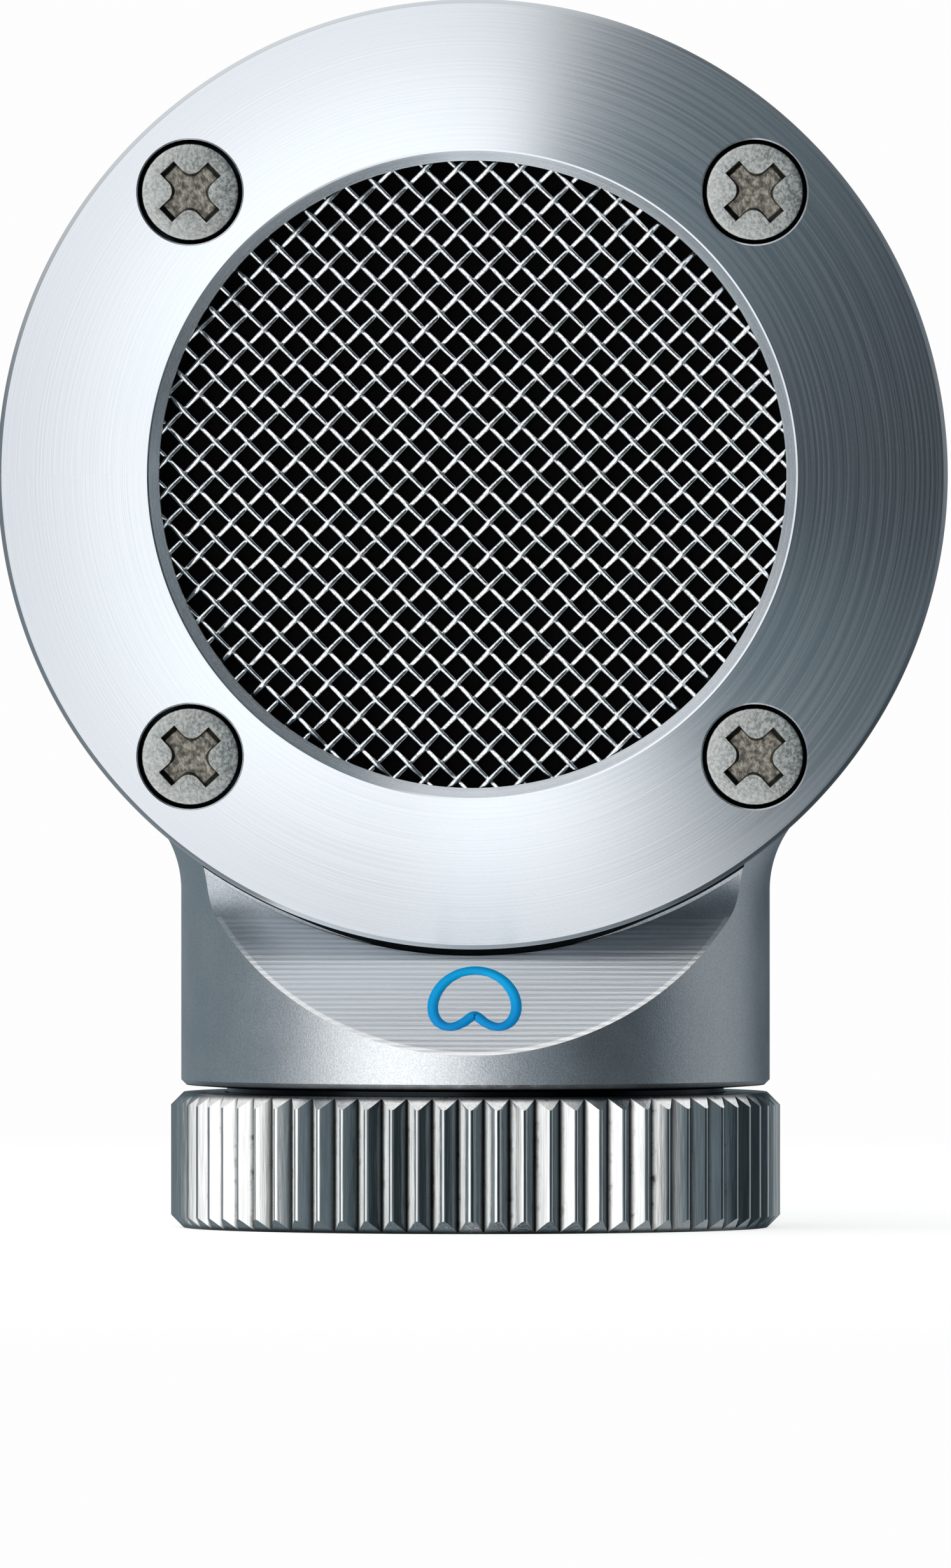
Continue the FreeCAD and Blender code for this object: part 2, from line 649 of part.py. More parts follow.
def knurled_blank():
    """A prism with straight V-shaped grooves all round, its crests left with a narrow land."""
    crest_radius = RING_CREST_DIAMETER / 2
    pitch = 2 * math.pi / KNURL_COUNT
    half_land = KNURL_LAND / 2 / crest_radius
    points = []
    for i in range(KNURL_COUNT):
        crest = i * pitch
        corners = [
            (crest_radius, crest - half_land),
            (crest_radius, crest + half_land),
            (ring_root_radius, crest + pitch / 2),
        ]
        for radius, angle in corners:
            points.append(FreeCAD.Vector(radius * math.cos(angle), radius * math.sin(angle), 0))
    return closed_face(points).extrude(Z_AXIS * RING_HEIGHT)


def coupling_ring():
    """A captive ring nut: a lip over the spigot's flange above, the coupling thread below."""
    chamfered = RING_CREST_DIAMETER / 2 - RING_EDGE_CHAMFER
    thread = COUPLING_THREAD_DIAMETER / 2
    limits = turned_about_z([
        (SPIGOT_DIAMETER / 2 + SPIGOT_RUNNING_CLEARANCE, lip_bottom_z),
        (SPIGOT_DIAMETER / 2 + SPIGOT_RUNNING_CLEARANCE, RING_HEIGHT),
        (chamfered, RING_HEIGHT),
        (chamfered + RING_EDGE_CHAMFER, RING_HEIGHT - RING_EDGE_CHAMFER),
        (chamfered + RING_EDGE_CHAMFER, RING_EDGE_CHAMFER),
        (chamfered, 0),
        (thread + COUPLING_THREAD_MOUTH, 0),
        (thread, COUPLING_THREAD_MOUTH),
        (thread, coupling_thread_top_z),
        (thread + COUPLING_RELIEF, coupling_thread_top_z),
        (thread + COUPLING_RELIEF, lip_bottom_z),
    ])
    return knurled_blank().common(limits)


def pieces():
    """Every node's name with the function that makes it."""
    front_pieces = {
        "bezel": front_bezel,
        "grille": front_grille,
        "bezel_screws": front_bezel_screws,
        "acoustic_screen": front_acoustic_screen,
        "grille_gasket": front_grille_gasket,
    }
    made = {"head_housing": head_housing()}
    for name, make in front_pieces.items():
        shape = make()
        made["front_" + name] = shape
        made["rear_" + name] = mirrored(shape)
    for make in (
        cartridge_shell, cartridge_gasket, cartridge_nut, diaphragm_ring, diaphragm,
        diaphragm_spacer, backplate, backplate_insulator, damping_disc, rear_port_plate,
        stack_lock_ring, backplate_terminal, signal_lead, coupling_spigot, contact_insulator,
        centre_contact, contact_nut, coupling_ring,
    ):
        made[make.__name__] = make()
    return made


def main():
    os.makedirs("parts", exist_ok=True)
    for name, shape in pieces().items():
        if not shape.isValid():
            raise ValueError(name + " is not a valid shape")
        print(name, len(shape.Solids), round(shape.Volume, 3))
        shape.exportStep("parts/" + name + ".step")


main()
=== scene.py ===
import math

import bmesh
import bpy
from mathutils import Matrix, Vector


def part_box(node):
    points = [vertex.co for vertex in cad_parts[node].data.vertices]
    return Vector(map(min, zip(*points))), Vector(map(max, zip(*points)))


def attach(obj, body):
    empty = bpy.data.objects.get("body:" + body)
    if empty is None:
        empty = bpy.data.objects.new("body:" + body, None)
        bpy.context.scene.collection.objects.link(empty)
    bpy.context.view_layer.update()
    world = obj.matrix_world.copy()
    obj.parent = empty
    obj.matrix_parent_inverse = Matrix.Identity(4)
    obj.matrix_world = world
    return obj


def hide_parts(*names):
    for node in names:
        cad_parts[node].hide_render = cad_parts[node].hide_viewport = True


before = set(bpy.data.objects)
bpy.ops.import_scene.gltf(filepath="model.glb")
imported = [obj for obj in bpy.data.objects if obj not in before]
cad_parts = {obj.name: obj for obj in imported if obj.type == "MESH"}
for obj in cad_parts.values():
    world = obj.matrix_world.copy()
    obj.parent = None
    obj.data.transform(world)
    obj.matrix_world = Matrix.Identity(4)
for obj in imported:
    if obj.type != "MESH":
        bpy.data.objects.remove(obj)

bl_info = {
    "name": "Microphone capsule",
    "version": (1, 0, 0),
    "blender": (4, 5, 0),
    "location": "3D View > Sidebar > Capsule",
    "description": "Builds the finished look of a side-address microphone capsule round its frame",
    "category": "Object",
}

MM = 0.001
TURN = 2 * math.pi
FINISH_PREFIX = "finish_"
# faces round a turned piece: a large one, a usual one and a screw
LARGE_STEPS = 512
TURNED_STEPS = 256
SMALL_STEPS = 96
# points on the ring's rim for each groove of its knurl
KNURL_POINTS = 5
# points along a wire from one crossing to the next
STEPS_PER_PITCH = 5
# angle between two faces past which their edge is sharp
SHARP_DEGREES = 12
SCREW_SHARP_DEGREES = 20
KNURL_SHARP_DEGREES = 28
# how much lower the neck's underside lies at the spigot than at its rim
UNDERSIDE_DROP = 0.1 * MM
# how far a cutting tool starts outside what it cuts
TOOL_REACH = MM
SENSOR_WIDTH = 36
BEZEL_LOW, BEZEL_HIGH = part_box("front_bezel")
GRILLE_LOW, GRILLE_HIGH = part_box("front_grille")
RING_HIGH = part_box("coupling_ring")[1]
HOUSING_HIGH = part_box("head_housing")[1]
SPIGOT_LOW, SPIGOT_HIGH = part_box("coupling_spigot")
INSULATOR_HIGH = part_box("contact_insulator")[1]


# Sizes and colours that a user can change

def length(name, description, size):
    """A length property, its default in metres."""
    return bpy.props.FloatProperty(
        name=name, description=description, default=size, min=0.0, precision=5, unit="LENGTH"
    )


def angle(name, description, degrees):
    return bpy.props.FloatProperty(
        name=name, description=description, default=math.radians(degrees), subtype="ANGLE"
    )


def count(name, description, number):
    return bpy.props.IntProperty(name=name, description=description, default=number, min=1)


def share(name, description, value):
    return bpy.props.FloatProperty(
        name=name, description=description, default=value, min=0.0, max=1.0, subtype="FACTOR"
    )


def colour(name, description, value):
    return bpy.props.FloatVectorProperty(
        name=name, description=description, default=value, size=3, min=0.0, max=1.0,
        subtype="COLOR",
    )


class HeadSizes(bpy.types.PropertyGroup):
    """Sizes of the disc, the neck and the bezels."""

    head_radius: length("Head radius", "Outer radius of the bezels", BEZEL_HIGH.x)
    head_centre_z: length("Head centre", "Height of the head's axis",
                          (BEZEL_LOW.z + BEZEL_HIGH.z) / 2)
    bezel_front: length("Bezel front", "Depth of the bezel's face from the middle", -BEZEL_LOW.y)
    seat_depth: length("Depth of the seat", "Depth of the bezel's seat from the middle",
                       -BEZEL_HIGH.y)
    disc_radius: length("Disc radius", "Radius of the disc between the bezels",
                        HOUSING_HIGH.z - (BEZEL_LOW.z + BEZEL_HIGH.z) / 2)
    edge_chamfer: length("Edge chamfer", "Chamfer round the bezel's face", 0.14 * MM)
    aperture_radius: length("Aperture radius", "Radius of the opening over the mesh", 10.6 * MM)
    aperture_chamfer: length("Aperture chamfer", "Chamfer round the opening", 0.36 * MM)
    cavity_radius: length("Cavity radius", "Bore of the disc", 11 * MM)
    rebate_radius: length("Rebate radius", "Recess for the mesh disc", 12.15 * MM)
    neck_radius: length("Neck radius", "Radius of the round neck", 10 * MM)
    neck_bottom: length("Neck bottom", "Height of the neck's bottom edge", 4.85 * MM)
    neck_chamfer: length("Neck chamfer", "Chamfer round the neck's bottom edge", 0.18 * MM)
    flare_radius: length("Flare radius", "Curve that joins the neck to the disc", 3.6 * MM)
    facet_foot: length("Facet foot", "Height where the slanted facet starts", 6 * MM)
    facet_angle: angle("Facet angle", "Slope of the facet above level", 42.4)
    facet_fillet: length("Facet fillet", "Curve between the facet and the disc", 2 * MM)
    pocket_clearance: length("Pocket clearance", "Room round the bezel in the neck", 0.2 * MM)
    mill_pitch: length("Milling pitch", "Distance between the milled lines", 0.25 * MM)


class MeshSizes(bpy.types.PropertyGroup):
    """Sizes of the woven wire mesh."""

    radius: length("Mesh radius", "Radius of the mesh disc", GRILLE_HIGH.x)
    wire_diameter: length("Wire diameter", "Thickness of one wire", 0.2 * MM)
    pitch: length("Pitch", "Distance from wire to wire", 0.769 * MM)
    wobble: length("Wobble", "How far a wire strays from its line", 0.08 * MM)
    slant: angle("Slant", "Angle of the wires to the upright", 45)


class ScrewSizes(bpy.types.PropertyGroup):
    """Sizes of the bezel screws."""

    number: count("Screws", "Screws in each bezel", 4)
    circle_radius: length("Circle radius", "Circle on which the screws sit", 13.48 * MM)
    first_angle: angle("First angle", "Where the first screw sits", 45)
    head_radius: length("Head radius", "Radius of a screw head", 1.65 * MM)
    head_height: length("Head height", "Height of a screw head", 0.9 * MM)
    head_chamfer: length("Head chamfer", "Rounded edge of a screw head", 0.08 * MM)
    sunk: length("Sunk", "How far a head lies under the bezel's face", 0.04 * MM)
    shank_radius: length("Shank radius", "Radius of the shank", 0.8 * MM)
    shank_length: length("Shank length", "Length of the shank", 3.6 * MM)
    cross_span: length("Cross span", "Tip to tip across the recess", 2.28 * MM)
    cross_width: length("Cross width", "Width of one wing of the recess", 0.63 * MM)
    cross_depth: length("Cross depth", "Depth of the recess", 0.4 * MM)
    cross_corner: length("Cross corner", "Rounding between two wings", 0.42 * MM)
    cross_taper: share("Cross taper", "Size of the recess at its bottom", 0.84)
    clearance: length("Clearance", "Gap round a screw head", 0.12 * MM)
    hole_chamfer: length("Hole chamfer", "Chamfer round a screw's hole", 0.05 * MM)
    spread: angle("Spread", "How far the crosses stray from the diagonals", 4)


class RingSizes(bpy.types.PropertyGroup):
    """Sizes of the knurled coupling ring and the spigot inside it."""

    crest_radius: length("Crest radius", "Radius over the knurl", RING_HIGH.x)
    height: length("Ring height", "Height of the ring", RING_HIGH.z)
    grooves: count("Grooves", "Grooves of the knurl", 72)
    groove_depth: length("Groove depth", "Depth of one groove", 0.38 * MM)
    land: length("Land", "Flat left on each crest", 0.12 * MM)
    crest_bevel: length("Crest bevel", "Bevel on either side of a crest", 0.04 * MM)
    chamfer: length("Ring chamfer", "Chamfer across the ends of the knurl", 0.43 * MM)
    lip_bore: length("Lip bore", "Bore of the lip over the spigot", 8.5 * MM)
    lip_thickness: length("Lip thickness", "Thickness of that lip", 1.15 * MM)
    thread_radius: length("Thread radius", "Bore of the coupling thread", 9.35 * MM)
    thread_mouth: length("Thread mouth", "Chamfer at the mouth of the thread", 0.3 * MM)
    collar_radius: length("Collar radius", "Radius of the spigot in the lip", 8.44 * MM)
    flange_thickness: length("Flange thickness", "Thickness of the spigot's flange", 0.95 * MM)
    screw_radius: length("Screw radius", "Radius of the spigot in the neck", 7.4 * MM)
    bore_radius: length("Spigot bore", "Bore of the spigot", 5.5 * MM)


class SignSizes(bpy.types.PropertyGroup):
    """Size of the printed pick-up pattern on the facet."""

    width: length("Sign width", "Width of the sign", 3.2 * MM)
    height: length("Sign height", "Height of the sign along the facet", 3.15 * MM)
    stroke: length("Stroke", "Width of its line", 0.36 * MM)
    across: length("Off the middle", "Sideways place of the sign", 0.1 * MM)
    thickness: length("Paint thickness", "Thickness of the paint", 0.02 * MM)
    above_foot: length("Above foot", "Distance from the facet's foot to the sign", 1.24 * MM)


class Finishes(bpy.types.PropertyGroup):
    """Colours and roughness of the finishes."""

    turned: colour("Turned nickel", "Colour of the bezels", (0.61, 0.645, 0.68))
    turned_roughness: share("Turned roughness", "Roughness of the bezels", 0.27)
    blasted: colour("Blasted nickel", "Colour of the neck", (0.65, 0.68, 0.71))
    blasted_roughness: share("Blasted roughness", "Roughness of the neck", 0.36)
    polished: colour("Polished nickel", "Colour of the ring", (0.72, 0.73, 0.73))
    polished_roughness: share("Polished roughness", "Roughness of the ring", 0.09)
    wire: colour("Wire", "Colour of the mesh wires", (0.93, 0.95, 0.96))
    screw: colour("Screw", "Colour of the screws", (0.41, 0.43, 0.42))
    shade: colour("Shade", "Colour of deep narrow gaps", (0.012, 0.016, 0.018))
    grime: colour("Grime", "Colour of dirt in grooves", (0.10, 0.085, 0.06))
    dull_floor: colour("Dull floor", "Colour at the bottom of a recess", (0.22, 0.205, 0.175))
    sign_top: colour("Sign top", "Colour at the top of the sign", (0.0, 0.42, 0.86))
    sign_bottom: colour("Sign bottom", "Colour at the bottom of the sign", (0.0, 0.29, 0.72))


class StageSizes(bpy.types.PropertyGroup):
    """Camera and floor."""

    azimuth: angle("Azimuth", "Turn of the camera round the capsule", 0.93)
    elevation: angle("Elevation", "Height of the camera's line of sight", 0.55)
    distance: length("Distance", "Distance of the camera", 1.0)
    view_height: length("View height", "Height of what the picture shows", 53.3 * MM)
    aim_x: length("Aim across", "Sideways place of the picture's middle", 0.0)
    aim_z: length("Aim height", "Height of the picture's middle", 15.06 * MM)
    floor_radius: length("Floor radius", "Radius of the floor", 0.16)


# Meshes

def about_head(radius, turn, depth):
    """A point at this radius and turn round the head's axis."""
    centre_z = bpy.context.scene.capsule_head.head_centre_z
    return Vector((radius * math.cos(turn), depth, centre_z + radius * math.sin(turn)))


def about_neck(radius, turn, height):
    """A point at this radius and turn round the upright axis."""
    return Vector((radius * math.cos(turn), radius * math.sin(turn), height))


def about_y(radius, turn, depth):
    return Vector((radius * math.cos(turn), depth, radius * math.sin(turn)))


def finished(shape, name, sharp_degrees=SHARP_DEGREES):
    """Turns a bmesh into a mesh with its faces outwards and its corners sharp."""
    bmesh.ops.remove_doubles(shape, verts=shape.verts, dist=1e-7)
    bmesh.ops.recalc_face_normals(shape, faces=shape.faces)
    for face in shape.faces:
        face.smooth = True
    mesh = bpy.data.meshes.new(name)
    shape.to_mesh(mesh)
    shape.free()
    mesh.set_sharp_from_angle(angle=math.radians(sharp_degrees))
    return mesh


def turned(name, profile, about, steps=TURNED_STEPS):
    """A closed solid turned from (radius, height) pairs that run round its section."""
    shape = bmesh.new()
    rings = []
    for radius, height in profile:
        turns = 1 if radius == 0 else steps
        rings.append([
            shape.verts.new(about(radius, TURN * i / steps, height)) for i in range(turns)
        ])
    for ring, following in zip(rings, rings[1:] + rings[:1]):
        for i in range(steps):
            corners = [
                ring[i % len(ring)],
                ring[(i + 1) % len(ring)],
                following[(i + 1) % len(following)],
                following[i % len(following)],
            ]
            distinct = list(dict.fromkeys(corners))
            if len(distinct) > 2:
                shape.faces.new(distinct)
    return finished(shape, name)


def prism(name, outline, start, along, end_scale=1.0):
    """A closed solid: a flat outline moved from start along a vector, larger or smaller there."""
    shape = bmesh.new()
    near = [shape.verts.new(point + start) for point in outline]
    far = [shape.verts.new(end_scale * point + start + along) for point in outline]
    shape.faces.new(near)
    shape.faces.new(far)
    for i in range(len(outline)):
        following = (i + 1) % len(outline)
        shape.faces.new((near[i], near[following], far[following], far[i]))
    return finished(shape, name)


def mirrored(mesh):
    """The same mesh on the rear side."""
    copy = mesh.copy()
    copy.transform(Matrix.Scale(-1, 4, Vector((0, 1, 0))))
    copy.flip_normals()
    return copy


def as_object(name, mesh):
    made = bpy.data.objects.new(name, mesh)
    bpy.context.scene.collection.objects.link(made)
    return made


def evaluated_mesh(made):
    """What an object's modifiers make of it, as a plain mesh."""
    depsgraph = bpy.context.evaluated_depsgraph_get()
    return bpy.data.meshes.new_from_object(made.evaluated_get(depsgraph))


def combined(base, steps, sharp_degrees=SHARP_DEGREES):
    """Joins whole meshes to the base or cuts them from it, in order."""
    target = as_object("workpiece", base)
    tools = []
    for operation, mesh in steps:
        tool = as_object("tool", mesh)
        tools.append(tool)
        change = target.modifiers.new("step", "BOOLEAN")
        change.operation = operation
        change.solver = "EXACT"
        change.object = tool
    result = evaluated_mesh(target)
    for used in tools + [target]:
        bpy.data.objects.remove(used)
    shape = bmesh.new()
    shape.from_mesh(result)
    # a cut can leave one narrow face of a hole's wall open
    open_edges = [edge for edge in shape.edges if edge.is_boundary]
    bmesh.ops.holes_fill(shape, edges=open_edges, sides=4)
    return finished(shape, base.name, sharp_degrees)


def place(name, mesh, node, slot, body, *materials):
    """Puts a finished mesh in the scene, in place of a CAD node where one is named."""
    mesh.name = name
    mesh.materials.clear()
    for material in materials:
        mesh.materials.append(material)
    piece = as_object(name, mesh)
    if node:
        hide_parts(node)
    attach(piece, body)
    return piece


def place_on_both_sides(name, front, node, slot, material):
    """Puts a mesh on the front and its mirror image on the rear."""
    for side, mesh in (("front_", front), ("rear_", mirrored(front))):
        place(side + name, mesh, side + node, slot, "head", material)


# Node trees

FLOAT = "NodeSocketFloat"
INTEGER = "NodeSocketInt"
VECTOR = "NodeSocketVector"
COLOUR = "NodeSocketColor"
OBJECT = "NodeSocketObject"
MATERIAL = "NodeSocketMaterial"
GEOMETRY = "NodeSocketGeometry"


class Output:
    """An output in a node tree; arithmetic on it adds Math nodes."""

    def __init__(self, socket):
        self.socket = socket
        self.tree = socket.id_data

    def maths(self, operation, *others):
        return add(self.tree, "ShaderNodeMath", enumerate((self, *others)), operation=operation)

    def __add__(self, other):
        return self.maths("ADD", other)

    def __sub__(self, other):
        return self.maths("SUBTRACT", other)

    def __rsub__(self, other):
        return add(self.tree, "ShaderNodeMath", {0: other, 1: self}, operation="SUBTRACT")

    def __mul__(self, other):
        return self.maths("MULTIPLY", other)

    def __truediv__(self, other):
        return self.maths("DIVIDE", other)

    def __rtruediv__(self, other):
        return add(self.tree, "ShaderNodeMath", {0: other, 1: self}, operation="DIVIDE")


def feed(socket, value):
    """Links an output to a node's input, or sets a plain value on it."""
    if isinstance(value, Output):
        value.tree.links.new(value.socket, socket)
    else:
        socket.default_value = value


def new_node(tree, kind, inputs=(), **settings):
    """Adds a node; its inputs are plain values or outputs of other nodes."""
    made = tree.nodes.new(kind)
    for name, value in settings.items():
        setattr(made, name, value)
    for name, value in dict(inputs).items():
        feed(made.inputs[name], value)
    return made


def add(tree, kind, inputs=(), output=0, **settings):
    """Adds a node and returns one of its outputs."""
    return Output(new_node(tree, kind, inputs, **settings).outputs[output])


def vector(tree, x=0.0, y=0.0, z=0.0):
    return add(tree, "ShaderNodeCombineXYZ", {0: x, 1: y, 2: z})


def axes(value):
    """The three parts of a vector."""
    made = new_node(value.tree, "ShaderNodeSeparateXYZ", {0: value})
    return [Output(part) for part in made.outputs]


def vector_maths(operation, *values, output=0):
    return add(values[0].tree, "ShaderNodeVectorMath", enumerate(values), output,
               operation=operation)


def from_axis(position, first, second, middle=0.0):
    """Distance from an axis: the two axes of position that count, the second from its middle."""
    parts = axes(position)
    flat = vector(position.tree, parts[first], parts[second] - middle)
    return vector_maths("LENGTH", flat, output="Value")


def from_middle(position):
    """Depth in front of or behind the middle plane."""
    return axes(position)[1].maths("ABSOLUTE")


def smooth_step(value, low, high, to_low=0.0, to_high=1.0):
    """Runs smoothly from to_low to to_high while value goes from low to high."""
    inputs = {"Value": value, "From Min": low, "From Max": high,
              "To Min": to_low, "To Max": to_high}
    return add(value.tree, "ShaderNodeMapRange", inputs, interpolation_type="SMOOTHSTEP")


def noise(place, scale, detail, roughness=0.5, output=0, **settings):
    inputs = {"Vector": place, "Scale": scale, "Detail": detail, "Roughness": roughness}
    return add(place.tree, "ShaderNodeTexNoise", inputs, output, **settings)


def mixed(factor, first, second, blend="MIX"):
    """Mixes two colours, each a plain one or an output."""
    tree = [value.tree for value in (factor, first, second) if isinstance(value, Output)][0]
    made = new_node(tree, "ShaderNodeMix", {0: factor}, data_type="RGBA", blend_type=blend)
    for index, value in ((6, first), (7, second)):
        feed(made.inputs[index], value if isinstance(value, Output) else (*value[:3], 1))
    return Output(made.outputs[2])


def tinted(first, second):
    """Multiplies two colours, or a colour by a shade."""
    return mixed(1.0, first, second, "MULTIPLY")


def new_tree(kind, name, inputs, outputs):
    """A node group with named inputs (name, socket kind, default) and outputs (name, kind).

    Returns the tree, what comes in by name, and the sockets through which it leaves.
    """
    tree = bpy.data.node_groups.new(name, kind)
    for socket_name, socket_kind, default in inputs:
        socket = tree.interface.new_socket(socket_name, in_out="INPUT", socket_type=socket_kind)
        if default is not None:
            socket.default_value = default
    for socket_name, socket_kind in outputs:
        tree.interface.new_socket(socket_name, in_out="OUTPUT", socket_type=socket_kind)
    entry = tree.nodes.new("NodeGroupInput").outputs
    entry_by_name = {socket.name: Output(socket) for socket in entry if socket.name}
    return tree, entry_by_name, tree.nodes.new("NodeGroupOutput").inputs


def finish_tree(geometry, material, leave):
    """Every piece tree ends in plain geometry with its material set."""
    real = add(geometry.tree, "GeometryNodeRealizeInstances", {"Geometry": geometry})
    feed(leave["Geometry"], add(
        geometry.tree, "GeometryNodeSetMaterial", {"Geometry": real, "Material": material}))


def mesh_from_tree(tree, values):
    """Runs a geometry tree with the named values and returns a plain mesh."""
    carrier = as_object("carrier", bpy.data.meshes.new("carrier"))
    modifier = carrier.modifiers.new("build", "NODES")
    modifier.node_group = tree
    for item in tree.interface.items_tree:
        if item.in_out == "INPUT" and item.name in values:
            modifier[item.identifier] = values[item.name]
    mesh = evaluated_mesh(carrier)
    bpy.data.objects.remove(carrier)
    return mesh


# Shader groups shared by the finishes

def grain_group():
    """Fine blasted or cast grain, and a slow unevenness."""
    tree, entry, leave = new_tree(
        "ShaderNodeTree", "Grain", [("Vector", VECTOR, None), ("Size", FLOAT, 0.1 * MM)],
        [("Grain", FLOAT), ("Clouds", FLOAT)])
    scale = 1.0 / entry["Size"]
    feed(leave["Grain"], noise(entry["Vector"], scale, 2.0, 0.6))
    feed(leave["Clouds"], noise(entry["Vector"], scale / 40.0, 3.0))
    return tree


def lathe_group():
    """Fine rings round the head's axis, as a lathe tool leaves them, and a cone's slope."""
    tree, entry, leave = new_tree(
        "ShaderNodeTree", "Lathe rings",
        [("Vector", VECTOR, None), ("Normal", VECTOR, None), ("Centre Height", FLOAT, 0.0),
         ("Pitch", FLOAT, 0.1 * MM), ("Slope", FLOAT, 0.0)],
        [("Rings", FLOAT), ("Broken Rings", FLOAT), ("Normal", VECTOR)])
    parts = axes(entry["Vector"])
    across = parts[0]
    up = parts[2] - entry["Centre Height"]
    flat = vector(tree, across, z=up)
    ring = vector_maths("LENGTH", flat, output="Value") / entry["Pitch"]
    feed(leave["Rings"], add(tree, "ShaderNodeTexNoise", {
        "W": ring, "Scale": 1.0, "Detail": 3.0, "Roughness": 0.7}, noise_dimensions="1D"))
    along_arc = vector(tree, ring, up.maths("ARCTAN2", across) * 1.2)
    feed(leave["Broken Rings"], noise(along_arc, 0.6, 2.0, noise_dimensions="2D"))
    # only the flat face is given the slope, not the chamfers
    facing = axes(entry["Normal"])[1].maths("ABSOLUTE")
    slope = entry["Slope"] * smooth_step(facing, 0.95, 0.99)
    tilt = add(tree, "ShaderNodeVectorMath", {
        0: vector_maths("NORMALIZE", flat), "Scale": slope}, operation="SCALE")
    tilted = vector_maths("ADD", entry["Normal"], tilt)
    feed(leave["Normal"], vector_maths("NORMALIZE", tilted))
    return tree


def grime_group():
    """Patches of dirt, kept to where the mask is high."""
    tree, entry, leave = new_tree(
        "ShaderNodeTree", "Grime",
        [("Vector", VECTOR, None), ("Mask", FLOAT, 1.0), ("Clean", COLOUR, None),
         ("Dirt", COLOUR, None), ("Patch Size", FLOAT, 2 * MM), ("Amount", FLOAT, 0.5)],
        [("Color", COLOUR), ("Dirty", FLOAT)])
    patches = noise(entry["Vector"], 1.0 / entry["Patch Size"], 5.0, 0.65)
    start = 1.0 - entry["Amount"]
    dirty = smooth_step(patches, start, start + 0.25) * entry["Mask"]
    feed(leave["Color"], mixed(dirty, entry["Clean"], entry["Dirt"]))
    feed(leave["Dirty"], dirty)
    return tree


def streak_group():
    """Fine streaks that run level or upright: a noise stretched along one axis."""
    tree, entry, leave = new_tree(
        "ShaderNodeTree", "Streaks",
        [("Vector", VECTOR, None), ("Stretch", VECTOR, None), ("Size", FLOAT, 0.1 * MM)],
        [("Streaks", FLOAT)])
    stretched = vector_maths("MULTIPLY", entry["Vector"], entry["Stretch"])
    feed(leave["Streaks"], noise(stretched, 1.0 / entry["Size"], 3.0, 0.6))
    return tree


def use_group(make, position, **values):
    """Places a shader group, built at its first use, and returns its outputs by name."""
    name = "capsule " + make.__name__
    group = bpy.data.node_groups.get(name)
    if group is None:
        group = make()
        group.name = name
    inputs = {"Vector": position}
    inputs.update({key.replace("_", " "): value for key, value in values.items()})
    placed = new_node(position.tree, "ShaderNodeGroup", inputs, node_tree=group)
    return {socket.name: Output(socket) for socket in placed.outputs}


# Materials

def dress(shader, **values):
    """Sets or links the shader's sockets; an underscore in a name stands for a space."""
    for name, value in values.items():
        feed(shader.inputs[name.replace("_", " ")], value)


def new_material(name, colour_value, metallic, roughness, **settings):
    """A material with plain values; returns it, its shader and the position on the piece."""
    material = bpy.data.materials.new(FINISH_PREFIX + name)
    material.use_nodes = True
    shader = material.node_tree.nodes["Principled BSDF"]
    dress(shader, Base_Color=(*colour_value[:3], 1), Metallic=metallic, Roughness=roughness,
          **settings)
    return material, shader, add(material.node_tree, "ShaderNodeTexCoord", output="Object")


def bump(height, distance, **more):
    inputs = {"Height": height, "Distance": distance, "Strength": 1.0, **more}
    return add(height.tree, "ShaderNodeBump", inputs)


def mottled(value, colour_value, darker, lighter, low=0.3, high=0.7):
    """A colour that runs from a darker to a lighter tone as a noise goes from low to high."""
    dull = tuple(darker * part for part in colour_value)
    bright = tuple(min(1.0, lighter * part) for part in colour_value)
    return mixed(smooth_step(value, low, high), dull, bright)


def varied(value, middle, spread):
    """A roughness that strays from its middle with a noise."""
    return smooth_step(value, 0.3, 0.7, middle - spread, middle + spread)


def screw_hole_shade(position, radius):
    """Where the bezel lies in deep shade: down in the screws' holes."""
    head = bpy.context.scene.capsule_head
    screws = bpy.context.scene.capsule_screws
    soft = 0.15 * MM
    hole = screws.head_radius + screws.clearance
    inner = screws.circle_radius - hole
    outer = screws.circle_radius + hole
    among_screws = smooth_step(radius, inner - soft, inner) * smooth_step(
        radius, outer + soft, outer)
    edge = head.bezel_front - screws.hole_chamfer
    return among_screws * smooth_step(from_middle(position), edge, edge - 0.04 * MM)


def turned_nickel():
    """The bezels: rings left by the lathe tool, painted light brighter towards the opening, and
    painted shade down in the screws' holes.
    """
    finishes = bpy.context.scene.capsule_finishes
    head = bpy.context.scene.capsule_head
    rough = finishes.turned_roughness
    material, shader, position = new_material(
        "turned_nickel", finishes.turned, 1.0, rough, Anisotropic=0.75,
        Anisotropic_Rotation=0.25)
    normal = add(position.tree, "ShaderNodeNewGeometry", output="Normal")
    rings = use_group(lathe_group, position, Normal=normal, Centre_Height=head.head_centre_z,
                      Pitch=0.05 * MM, Slope=0.40)
    marks = rings["Rings"] + rings["Broken Rings"]
    unshaded = mottled(marks, finishes.turned, 0.94, 1.05, 0.7, 1.3)
    radius = from_axis(position, 0, 2, head.head_centre_z)
    # painted light: the face is drawn brighter towards the opening and darker towards its rim
    painted_light_falloff = smooth_step(radius, head.aperture_radius, head.head_radius, 1.12, 0.9)
    # painted shade down in the screws' holes
    shade = screw_hole_shade(position, radius)
    dress(shader,
          Base_Color=mixed(shade, tinted(unshaded, painted_light_falloff), finishes.shade),
          Roughness=varied(rings["Broken Rings"], rough, 0.04),
          Normal=bump(marks, 0.0018 * MM, Normal=rings["Normal"]),
          Tangent=add(position.tree, "ShaderNodeTangent", direction_type="RADIAL", axis="Y"))
    return material


